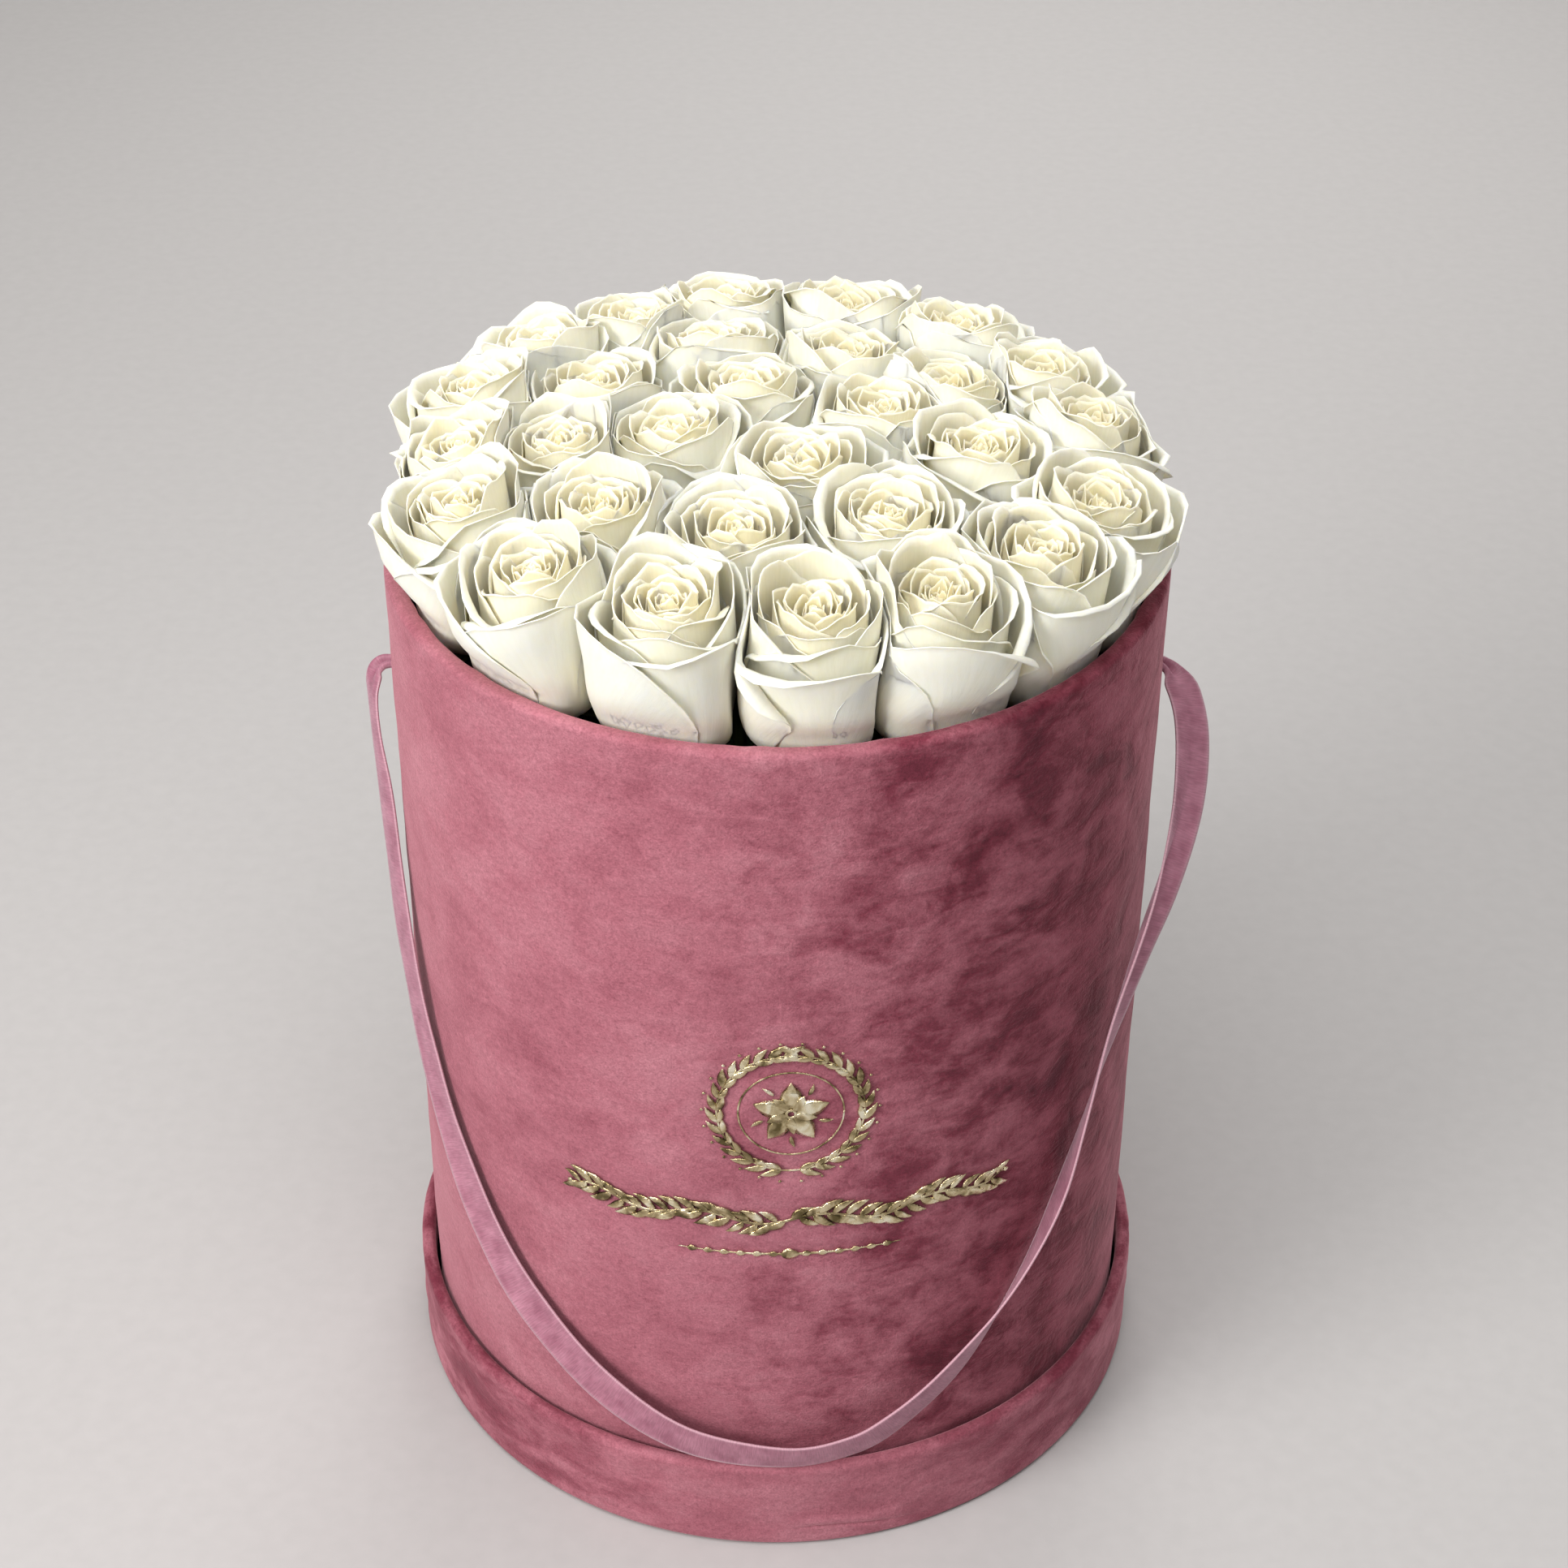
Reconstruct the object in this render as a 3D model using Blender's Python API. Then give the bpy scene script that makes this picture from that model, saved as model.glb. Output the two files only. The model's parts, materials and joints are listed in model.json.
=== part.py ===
"""A round velvet hat box full of roses, standing in its own upturned lid, with a ribbon handle.

Metres, +Z up. The origin is on the table, under the middle of the lid. The front, with the foil
stamping, looks along -Y. The ribbon handle turns about the X axis line through the two holes.
"""

import math

import bmesh
import bpy
from mathutils import Matrix, Vector

# Driving dimensions
gap = 0.0003            # left between pieces that touch
box_radius = 0.110      # over the velvet
box_top = 0.2857        # the rim, above the table
lid_radius = 0.1154     # over the velvet
lid_height = 0.0326
velvet = 0.0012         # pile and backing
box_board = 0.0025      # greyboard of the box
lid_board = 0.0018      # greyboard of the lid
paper = 0.0005          # lining paper
turn_in = 0.012         # how far the velvet is folded over an edge
rounding = 0.0009       # of a folded velvet edge
hole_height = 0.243     # centre of the two ribbon holes
hole_radius = 0.0032
ribbon_width = 0.0125
ribbon_thickness = 0.001
neck_radius = 0.0023    # the ribbon gathered up where it goes through a hole
foam_bottom = 0.112
foam_top = 0.205
stem_radius = 0.0023
stem_hole_radius = 0.0030
stem_depth = 0.045      # how deep a stem stands in the foam
bloom_radius = 0.0178
bloom_height = 0.030    # of a bloom's centre above the rim
rim_share = 0.93        # how wide a bloom is at the rim, as a share of its widest
lean_per_metre = 62.0   # degrees that a rose leans outwards for each metre from the middle
segments = 48           # round the box
rose_sides = 10

# Heights that stack up from the table
lid_side_z = velvet + gap
lid_face_board_z = lid_side_z + velvet + gap
lid_floor_z = lid_face_board_z + lid_board + gap
box_bottom_z = lid_floor_z + paper + gap
box_board_z = box_bottom_z + velvet + gap
box_floor_z = box_board_z + box_board + gap
liner_z = box_floor_z + paper + gap
liner_wall = 0.0005
liner_top = 0.225

# Radii that stack up inwards
box_board_r = box_radius - velvet - gap
box_fold_r = box_board_r - box_board - gap
box_lining_r = box_fold_r - paper
lid_board_r = lid_radius - velvet - gap
lid_fold_r = lid_board_r - lid_board - gap
fold_thickness = 0.0007
liner_r = box_lining_r - 2 * gap

# Where each rose stands: (angle from the front in degrees, distance from the middle)
rose_spots = (
    # the outer ring, from the front left, past the right, to the back and the left
    (-43, 0.093), (-18, 0.090), (6, 0.087), (27, 0.091), (49, 0.091), (70, 0.092), (99, 0.089),
    (119, 0.086), (143, 0.087), (166, 0.087), (190, 0.091), (209, 0.087), (228, 0.092),
    (250, 0.091), (271, 0.088), (291, 0.091),
    # the middle ring
    (-52, 0.060), (-13, 0.049), (37, 0.049), (87, 0.056), (127, 0.061), (160, 0.058),
    (197, 0.062), (236, 0.063), (271, 0.060),
    # the four in the middle
    (28, 0.014), (124, 0.036), (195, 0.034), (260, 0.030),
)

# The ribbon's middle line: (angle from the front, distance from the middle, height, lean).
# Lean is the angle in degrees that the ribbon's face looks upwards.
ribbon_route = (
    (-90.0, 0.1110, 0.2430, 90), (-89.9, 0.1136, 0.2428, 82), (-89.5, 0.1158, 0.2405, 50),
    (-88.2, 0.1166, 0.2350, 15), (-85.5, 0.1157, 0.2240, 2), (-82.0, 0.1137, 0.2090, 0),
    (-77.4, 0.1124, 0.1870, 0), (-72.6, 0.1121, 0.1650, 4), (-66.0, 0.1124, 0.1400, 10),
    (-58.5, 0.1130, 0.1165, 14), (-49.5, 0.1137, 0.0935, 16), (-40.0, 0.1139, 0.0740, 14),
    (-27.0, 0.1146, 0.0550, 4), (-13.5, 0.1158, 0.0430, -8), (1.0, 0.1168, 0.0398, -18),
    (11.0, 0.1164, 0.0422, -20), (18.0, 0.1156, 0.0487, -18), (26.0, 0.1148, 0.0606, -14),
    (34.0, 0.1142, 0.0772, -12), (40.5, 0.1140, 0.0945, -10), (46.0, 0.1141, 0.1135, -8),
    (50.5, 0.1146, 0.1340, -4), (55.0, 0.1160, 0.1580, 2), (60.0, 0.1183, 0.1820, 8),
    (66.0, 0.1202, 0.2010, 16), (74.0, 0.1212, 0.2185, 30), (81.5, 0.1197, 0.2330, 50),
    (87.5, 0.1156, 0.2412, 72), (90.0, 0.1110, 0.2430, 90),
)
route_steps = 3         # sections between two points of the route

# Foil stamping, laid out along the box's side (across the front, height)
foil_middle = 0.004
foil_inner_r = box_radius + gap
foil_outer_r = foil_inner_r + 0.0004
wreath_height = 0.1675
wreath_radius = 0.0205
garland_height = 0.1285
garland_half_length = 0.066
divider_height = 0.1155
divider_half_length = 0.032


def clear_scene():
    for thing in list(bpy.data.objects):
        bpy.data.objects.remove(thing, do_unlink=True)


def make_material(name, colour, roughness, metallic=0.0):
    material = bpy.data.materials.new(name)
    material.use_nodes = True
    shader = material.node_tree.nodes["Principled BSDF"]
    shader.inputs["Base Color"].default_value = (*colour, 1.0)
    shader.inputs["Roughness"].default_value = roughness
    shader.inputs["Metallic"].default_value = metallic
    material.diffuse_color = (*colour, 1.0)
    return material


def make_empty(name, location, parent=None):
    empty = bpy.data.objects.new(name, None)
    empty.location = location
    bpy.context.scene.collection.objects.link(empty)
    if parent:
        empty.parent = parent
        empty.matrix_parent_inverse = parent.matrix_basis.inverted()
    return empty


def add_piece(name, bm, material, parent, matrix=None):
    """Put a finished bmesh in the scene, with its place in the object's matrix."""
    bmesh.ops.recalc_face_normals(bm, faces=bm.faces)
    mesh = bpy.data.meshes.new(name)
    bm.to_mesh(mesh)
    bm.free()
    mesh.shade_smooth()
    mesh.set_sharp_from_angle(angle=math.radians(40))
    mesh.materials.append(material)
    piece = bpy.data.objects.new(name, mesh)
    bpy.context.scene.collection.objects.link(piece)
    piece.parent = parent
    piece.matrix_parent_inverse = parent.matrix_basis.inverted()
    if matrix:
        piece.matrix_basis = matrix
    return piece


def turned(outline, sides, closed):
    """A profile of (radius, height) points spun about Z.

    A closed outline makes a ring; an open one starts and ends on the axis and makes a solid.
    """
    bm = bmesh.new()
    points = [bm.verts.new((radius, 0.0, height)) for radius, height in outline]
    edges = [bm.edges.new(pair) for pair in zip(points, points[1:])]
    if closed:
        edges.append(bm.edges.new((points[-1], points[0])))
    bmesh.ops.spin(bm, geom=points + edges, cent=(0, 0, 0), axis=(0, 0, 1),
                   angle=math.tau, steps=sides, use_merge=False)
    bmesh.ops.remove_doubles(bm, verts=bm.verts, dist=1e-6)
    return bm


def ring(outer, inner, low, high):
    return turned(((outer, high), (outer, low), (inner, low), (inner, high)), segments, True)


def disc(radius, low, high):
    return turned(((0, low), (radius, low), (radius, high), (0, high)), segments, False)


def folded_velvet(outer, inner, low, high, fold_in, foot):
    """Side velvet in section: up the outside, rounded over the edge, and down the inside.

    fold_in is the radius of the turned-in strip's outer face, and foot is the inner radius of
    the strip that is turned in under the bottom.
    """
    top_of_board = high - velvet
    return turned((
        (outer, high - 2 * rounding),
        (outer - 0.3 * rounding, high - 0.6 * rounding),
        (outer - rounding, high),
        (fold_in - fold_thickness + rounding, high),
        (fold_in - fold_thickness, high - rounding),
        (fold_in - fold_thickness, high - turn_in),
        (fold_in, high - turn_in),
        (fold_in, top_of_board),
        (inner, top_of_board),
        (inner, low + velvet),
        (foot, low + velvet),
        (foot, low),
        (outer - rounding, low),
        (outer, low + rounding),
    ), segments, True)


def hole_cutter():
    """One long rod along X that makes both ribbon holes."""
    bm = bmesh.new()
    turn = Matrix.Rotation(math.pi / 2, 4, "Y")
    bmesh.ops.create_cone(bm, cap_ends=True, segments=16, radius1=hole_radius,
                          radius2=hole_radius, depth=4 * box_radius, matrix=turn)
    mesh = bpy.data.meshes.new("ribbon_hole_cutter")
    bm.to_mesh(mesh)
    bm.free()
    return hidden_cutter("ribbon_hole_cutter", mesh, (0, 0, hole_height))


def hidden_cutter(name, mesh, location):
    cutter = bpy.data.objects.new(name, mesh)
    cutter.location = location
    cutter.hide_render = True
    cutter.display_type = "WIRE"
    bpy.context.scene.collection.objects.link(cutter)
    return cutter


def cut(piece, cutter):
    boolean = piece.modifiers.new("cut", "BOOLEAN")
    boolean.operation = "DIFFERENCE"
    boolean.solver = "EXACT"
    boolean.object = cutter


def lid_pieces(lid):
    velvet_look = make_material("lid velvet", (0.42, 0.10, 0.15), 0.9)
    board_look = make_material("lid greyboard", (0.42, 0.38, 0.33), 0.9)
    paper_look = make_material("lid lining paper", (0.02, 0.02, 0.02), 0.8)
    foot = lid_board_r - 0.010
    side = folded_velvet(lid_radius, lid_radius - velvet, lid_side_z, lid_height, lid_fold_r, foot)
    add_piece("lid_side_velvet", side, velvet_look, lid)
    face = turned(((0, 0), (lid_radius - 2 * rounding, 0), (lid_radius - rounding / 2, velvet / 2),
                   (lid_radius - rounding / 2, velvet), (0, velvet)), segments, False)
    add_piece("lid_face_velvet", face, velvet_look, lid)
    add_piece("lid_face_board", disc(lid_fold_r, lid_face_board_z, lid_face_board_z + lid_board),
              board_look, lid)
    add_piece("lid_side_board", ring(lid_board_r, lid_board_r - lid_board, lid_face_board_z,
              lid_height - velvet - gap), board_look, lid)
    add_piece("lid_lining_floor", disc(lid_fold_r - paper - gap, lid_floor_z, lid_floor_z + paper),
              paper_look, lid)
    add_piece("lid_lining_wall", ring(lid_fold_r, lid_fold_r - paper, lid_floor_z,
              lid_height - turn_in - gap), paper_look, lid)


def box_pieces(box, holes):
    velvet_look = make_material("box velvet", (0.42, 0.10, 0.15), 0.9)
    board_look = make_material("box greyboard", (0.42, 0.38, 0.33), 0.9)
    paper_look = make_material("box lining paper", (0.02, 0.02, 0.02), 0.8)
    foot = box_board_r - 0.010
    side = folded_velvet(box_radius, box_radius - velvet, box_bottom_z, box_top, box_fold_r, foot)
    cut(add_piece("box_side_velvet", side, velvet_look, box), holes)
    add_piece("box_bottom_paper", disc(foot - gap, box_bottom_z, box_bottom_z + paper),
              paper_look, box)
    wall = ring(box_board_r, box_board_r - box_board, box_board_z, box_top - velvet - gap)
    cut(add_piece("box_side_board", wall, board_look, box), holes)
    add_piece("box_bottom_board", disc(box_fold_r, box_board_z, box_board_z + box_board),
              board_look, box)
    lining = ring(box_fold_r, box_lining_r, box_floor_z, box_top - turn_in - gap)
    cut(add_piece("box_lining_wall", lining, paper_look, box), holes)
    add_piece("box_lining_floor", disc(box_lining_r - gap, box_floor_z, box_floor_z + paper),
              paper_look, box)


def rose_places():
    """Each rose's number with the middle of its bloom, seen from above."""
    places = {}
    for number, (angle, distance) in enumerate(rose_spots, start=1):
        turn = math.radians(angle)
        places[number] = Vector((math.sin(turn), -math.cos(turn), 0.0)) * distance
    return places


def rose_matrix(place):
    """A rose's own frame: its bloom's middle, leaning away from the box's middle."""
    lean = math.radians(lean_per_metre * place.length)
    axis = Vector((0, 0, 1)).cross(place).normalized()
    height = box_top + bloom_height
    return Matrix.Translation((place.x, place.y, height)) @ Matrix.Rotation(lean, 4, axis)


def widest_place(place):
    """Where a leaning rose's axis is at the widest part of its bloom."""
    return rose_matrix(place) @ Vector((0, 0, -0.016))


def free_radius(number, places):
    """The largest bloom that clears its nearest neighbour and the turned-in velvet."""
    here = widest_place(places[number])
    others = [widest_place(place) for key, place in places.items() if key != number]
    nearest = min((here - other).length for other in others)
    at_rim = rose_matrix(places[number]) @ Vector((0, 0, -bloom_height))
    beside_rim = box_fold_r - fold_thickness - 2 * gap - at_rim.xy.length
    return min(bloom_radius, nearest / 2 - 1.5 * gap, beside_rim / rim_share)


def rose(number, place, radius, look, box):
    stem_bottom = -(box_top + bloom_height - foam_top) - stem_depth
    outline = (
        (0.0, stem_bottom),
        (stem_radius, stem_bottom),
        (stem_radius, -0.052),
        (0.30 * radius, -0.047),
        (0.70 * radius, -0.039),
        (0.96 * radius, -0.027),
        (radius, -0.014),
        (0.92 * radius, 0.000),
        (0.70 * radius, 0.006),
        (0.0, 0.004),
    )
    add_piece(f"rose_{number:02d}", turned(outline, rose_sides, False), look, box,
              rose_matrix(place))


def roses(box):
    look = make_material("rose petals", (0.86, 0.83, 0.70), 0.6)
    places = rose_places()
    for number, place in places.items():
        rose(number, place, free_radius(number, places), look, box)
    return places


def stem_hole_cutter(places):
    bm = bmesh.new()
    height = box_top + bloom_height
    end = -(height - foam_top) - stem_depth - 2 * gap
    start = -(height - foam_top) + 0.02
    for place in places.values():
        along = rose_matrix(place) @ Matrix.Translation((0, 0, (start + end) / 2))
        bmesh.ops.create_cone(bm, cap_ends=True, segments=8, radius1=stem_hole_radius,
                              radius2=stem_hole_radius, depth=start - end, matrix=along)
    mesh = bpy.data.meshes.new("stem_hole_cutter")
    bm.to_mesh(mesh)
    bm.free()
    return hidden_cutter("stem_hole_cutter", mesh, (0, 0, 0))


def insert_pieces(box, places):
    riser_look = make_material("white foam riser", (0.85, 0.85, 0.84), 0.7)
    foam_look = make_material("soaked foam", (0.04, 0.12, 0.05), 0.95)
    liner_look = make_material("liner film", (0.03, 0.03, 0.03), 0.3)
    cup_bottom = foam_bottom - gap - liner_wall
    cup_r = liner_r - 2 * gap
    foam_r = cup_r - liner_wall - gap
    add_piece("riser_block", disc(liner_r, liner_z, cup_bottom - gap), riser_look, box)
    cup = turned((
        (0.0, cup_bottom), (cup_r, cup_bottom), (cup_r, liner_top),
        (cup_r - liner_wall, liner_top), (cup_r - liner_wall, cup_bottom + liner_wall),
        (0.0, cup_bottom + liner_wall),
    ), segments, False)
    add_piece("liner_cup", cup, liner_look, box)
    foam = add_piece("floral_foam", disc(foam_r, foam_bottom, foam_top), foam_look, box)
    cut(foam, stem_hole_cutter(places))


def route_point(place):
    turn = math.radians(place[0])
    return Vector((place[1] * math.sin(turn), -place[1] * math.cos(turn), place[2]))


def smooth_route():
    """Points and leans read from a Catmull-Rom curve through the ribbon's route."""
    rows = [(*route_point(place), place[3]) for place in ribbon_route]
    rows = [rows[0], *rows, rows[-1]]
    out = []
    for a, b, c, d in zip(rows, rows[1:], rows[2:], rows[3:]):
        for step in range(route_steps):
            t = step / route_steps
            out.append([0.5 * (2 * q + (r - p) * t + (2 * p - 5 * q + 4 * r - s) * t * t
                               + (3 * q - p - 3 * r + s) * t ** 3)
                        for p, q, r, s in zip(a, b, c, d)])
    out.append(list(rows[-1]))
    return out


def ribbon_section(middle, along, lean, width, thickness):
    """Eight points round the ribbon's flat section."""
    outward = Vector((middle.x, middle.y, 0)).normalized()
    face = outward * math.cos(lean) + Vector((0, 0, math.sin(lean)))
    face = (face - along * face.dot(along)).normalized()
    across = along.cross(face)
    points = []
    for corner in range(8):
        turn = math.tau * (corner + 0.5) / 8
        points.append(middle + across * (width * math.cos(turn)) + face * (thickness * math.sin(turn)))
    return points


def ribbon(handle):
    look = make_material("ribbon satin", (0.45, 0.20, 0.29), 0.6)
    rows = smooth_route()
    middles = [Vector(row[:3]) for row in rows]
    inner_end = liner_r + gap
    middles = [Vector((-inner_end, 0, hole_height)), *middles, Vector((inner_end, 0, hole_height))]
    leans = [90.0, *[row[3] for row in rows], 90.0]
    bm = bmesh.new()
    rings = []
    last = len(middles) - 1
    for index, middle in enumerate(middles):
        along = middles[min(index + 1, last)] - middles[max(index - 1, 0)]
        end_distance = min((middle - middles[1]).length, (middle - middles[-2]).length)
        if index in (0, last):
            end_distance = 0.0
        spread = min(end_distance / 0.010, 1.0)
        spread = spread * spread * (3 - 2 * spread)
        width = neck_radius + (ribbon_width / 2 - neck_radius) * spread
        thickness = neck_radius + (ribbon_thickness / 2 - neck_radius) * spread
        corners = ribbon_section(middle, along.normalized(), math.radians(leans[index]),
                                 width, thickness)
        rings.append([bm.verts.new(corner) for corner in corners])
    for one, two in zip(rings, rings[1:]):
        for corner in range(8):
            after = (corner + 1) % 8
            bm.faces.new((one[corner], one[after], two[after], two[corner]))
    bm.faces.new(rings[0])
    bm.faces.new(rings[-1])
    to_handle = Matrix.Translation((0, 0, -hole_height))
    bmesh.ops.transform(bm, matrix=to_handle, verts=bm.verts)
    piece = add_piece("ribbon_handle", bm, look, handle)
    piece.location = (0, 0, hole_height)
    return look


def knot(name, side, look, handle):
    """A ribbon end knotted up inside the wall, round about the handle's own axis."""
    outline = (
        (0.0, 0.0), (0.0034, 0.0002), (0.0056, 0.0022), (0.0060, 0.0046),
        (0.0052, 0.0080), (0.0030, 0.0100), (0.0, 0.0104),
    )
    start = liner_r
    turn = Matrix.Rotation(-side * math.pi / 2, 4, "Y")
    matrix = Matrix.Translation((side * start, 0, hole_height)) @ turn
    add_piece(name, turned(outline, 12, False), look, handle, matrix)


def bent_strip(rows):
    """A closed plate bent round the box: rows of ((across, up), (across, up)) edge points."""
    bm = bmesh.new()

    def place(point, radius):
        turn = (point[0] + foil_middle) / box_radius
        return bm.verts.new((radius * math.sin(turn), -radius * math.cos(turn), point[1]))

    return bm, [(place(a, foil_outer_r), place(b, foil_outer_r),
                 place(b, foil_inner_r), place(a, foil_inner_r)) for a, b in rows]


def close_strip(bm, rings, looped):
    pairs = list(zip(rings, rings[1:]))
    if looped:
        pairs.append((rings[-1], rings[0]))
    for one, two in pairs:
        for corner in range(4):
            after = (corner + 1) % 4
            bm.faces.new((one[corner], one[after], two[after], two[corner]))
    if not looped:
        bm.faces.new(rings[0])
        bm.faces.new(rings[-1])
    return bm


def foil_ring(name, look, box, radius, half_width, lobes, swell, steps):
    """A round band whose width swells in leaf-shaped lobes."""
    rows = []
    for step in range(steps):
        turn = math.tau * step / steps
        wide = half_width + swell * abs(math.sin(lobes * turn / 2))
        side = (math.sin(turn), math.cos(turn))
        rows.append(tuple(((radius + out) * side[0], wreath_height + (radius + out) * side[1])
                          for out in (-wide, wide)))
    bm, rings = bent_strip(rows)
    add_piece(name, close_strip(bm, rings, True), look, box)


def foil_line(name, look, box, height, half_length, half_width, swells, swell, steps):
    """A straight line across the front whose width swells and thins."""
    rows = []
    for step in range(steps + 1):
        part = step / steps
        wide = half_width + swell * abs(math.sin(math.pi * swells * part))
        across = (2 * part - 1) * half_length
        rows.append(((across, height - wide), (across, height + wide)))
    bm, rings = bent_strip(rows)
    add_piece(name, close_strip(bm, rings, False), look, box)


def foil_pieces(box):
    look = make_material("foil", (0.62, 0.55, 0.38), 0.3, 1.0)
    foil_ring("foil_wreath", look, box, wreath_radius, 0.0006, 12, 0.0036, 48)
    foil_ring("foil_blossom", look, box, 0.0062, 0.0030, 5, 0.0020, 30)
    foil_line("foil_garland", look, box, garland_height, garland_half_length, 0.0005, 11, 0.0048, 66)
    foil_line("foil_divider", look, box, divider_height, divider_half_length, 0.0004, 7, 0.0018, 42)


def main():
    clear_scene()
    lid = make_empty("lid", (0, 0, 0))
    box = make_empty("box", (0, 0, 0), lid)
    handle = make_empty("handle", (0, 0, hole_height), box)
    lid_pieces(lid)
    box_pieces(box, hole_cutter())
    foil_pieces(box)
    insert_pieces(box, roses(box))
    ribbon_look = ribbon(handle)
    knot("ribbon_knot_left", -1, ribbon_look, handle)
    knot("ribbon_knot_right", 1, ribbon_look, handle)


main()
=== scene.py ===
import json
import math

import bpy
import numpy as np
from mathutils import Matrix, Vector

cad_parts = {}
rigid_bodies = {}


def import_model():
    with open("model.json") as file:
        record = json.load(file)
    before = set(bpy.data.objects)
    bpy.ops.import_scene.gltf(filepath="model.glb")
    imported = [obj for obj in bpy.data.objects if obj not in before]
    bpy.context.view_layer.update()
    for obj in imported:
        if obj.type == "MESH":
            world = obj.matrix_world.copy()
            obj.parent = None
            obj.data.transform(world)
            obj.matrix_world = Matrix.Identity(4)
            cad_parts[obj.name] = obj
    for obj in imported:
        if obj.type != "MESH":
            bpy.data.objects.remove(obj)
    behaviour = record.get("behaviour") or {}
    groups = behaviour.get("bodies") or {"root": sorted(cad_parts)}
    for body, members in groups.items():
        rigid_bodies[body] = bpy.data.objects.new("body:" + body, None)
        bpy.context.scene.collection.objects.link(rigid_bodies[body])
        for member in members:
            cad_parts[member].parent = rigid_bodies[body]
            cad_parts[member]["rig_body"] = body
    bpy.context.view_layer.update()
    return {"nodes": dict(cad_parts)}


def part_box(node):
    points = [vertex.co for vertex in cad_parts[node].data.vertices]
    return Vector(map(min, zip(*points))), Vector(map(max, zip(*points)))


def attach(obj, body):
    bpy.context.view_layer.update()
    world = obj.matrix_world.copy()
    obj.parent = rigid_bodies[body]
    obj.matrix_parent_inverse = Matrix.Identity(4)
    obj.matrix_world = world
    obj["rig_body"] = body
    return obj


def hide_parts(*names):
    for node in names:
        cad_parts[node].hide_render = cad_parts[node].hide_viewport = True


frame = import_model()
mm = 0.001


def say(text):
    print("flower box:", text)


# Corner numbers of a grid's quads, points kept row by row. With wrap the last column joins the first.
# Rows that climb and columns that turn anticlockwise seen from above give faces that look outwards.
def gridQuads(rows, columns, wrap=False):
    row = np.arange(rows - 1)[:, None] * columns
    column = np.arange(columns if wrap else columns - 1)[None, :]
    after = (column + 1) % columns
    corners = [row + column, row + after, row + columns + after, row + columns + column]
    return np.stack(corners, -1).reshape(-1, 4)


# The same corners' places on a flat map: across has a value for each column, along for each row.
def gridMap(across, along):
    left, right = across[None, :-1], across[None, 1:]
    low, high = along[:-1, None], along[1:, None]
    corners = [(left, low), (right, low), (right, high), (left, high)]
    shape = (len(along) - 1, len(across) - 1)
    flat = [np.stack([np.broadcast_to(a, shape), np.broadcast_to(b, shape)], -1) for a, b in corners]
    return np.stack(flat, -2).reshape(-1, 4, 2)


# Puts arrays into a mesh: points, faces as one array or a list of arrays, map places for each corner,
# a number for each point under each attribute's name, and which look each face wears.
def makePiece(name, points, faces, looks, flatMap=None, numbers=None, lookOfFace=None):
    parts = faces if isinstance(faces, list) else [faces]
    mesh = bpy.data.meshes.new(name)
    mesh.vertices.add(len(points))
    mesh.vertices.foreach_set("co", np.asarray(points, np.float32).ravel())
    corners = np.concatenate([part.ravel() for part in parts]).astype(np.int32)
    sizes = np.concatenate([np.full(len(part), part.shape[1]) for part in parts])
    mesh.loops.add(len(corners))
    mesh.loops.foreach_set("vertex_index", corners)
    mesh.polygons.add(len(sizes))
    starts = np.concatenate([[0], np.cumsum(sizes)[:-1]]).astype(np.int32)
    mesh.polygons.foreach_set("loop_start", starts)
    mesh.update(calc_edges=True)
    if flatMap is not None:
        layer = mesh.uv_layers.new(name="surface")
        layer.data.foreach_set("uv", np.asarray(flatMap, np.float32).ravel())
    for title, values in (numbers or {}).items():
        attribute = mesh.attributes.new(title, "FLOAT", "POINT")
        attribute.data.foreach_set("value", np.asarray(values, np.float32))
    for look in looks:
        mesh.materials.append(look)
    if lookOfFace is not None:
        mesh.polygons.foreach_set("material_index", np.asarray(lookOfFace, np.int32))
    mesh.shade_smooth()
    piece = bpy.data.objects.new(name, mesh)
    bpy.context.scene.collection.objects.link(piece)
    return piece


# Gives an open surface its thickness, under the side that its faces look to.
def thicken(piece, thickness):
    solid = piece.modifiers.new("thickness", "SOLIDIFY")
    solid.thickness = thickness
    solid.offset = -1.0
    solid.use_rim = True


def smoothStep(x):
    x = np.clip(x, 0.0, 1.0)
    return x * x * (3.0 - 2.0 * x)


# Steps from low to high that lie closer together near some places: each spot is (place, width, how much).
def denseSteps(low, high, count, spots):
    x = np.linspace(low, high, 4000)
    density = np.ones_like(x)
    for place, width, much in spots:
        density += much * np.exp(-((x - place) / width) ** 2)
    total = np.concatenate([[0.0], np.cumsum((density[1:] + density[:-1]) / 2)])
    return np.interp(np.linspace(0.0, total[-1], count), total, x)


# A gentle unevenness: a few sine waves in two directions, with seeded directions and phases.
def waves(a, b, length, count, seed):
    draw = np.random.default_rng(seed)
    out = 0.0
    for _ in range(count):
        turn = draw.uniform(0, math.tau)
        wave = math.tau / (length * draw.uniform(0.6, 1.6))
        out = out + np.sin(wave * (a * math.cos(turn) + b * math.sin(turn)) + draw.uniform(0, math.tau))
    return out / math.sqrt(count)


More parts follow.
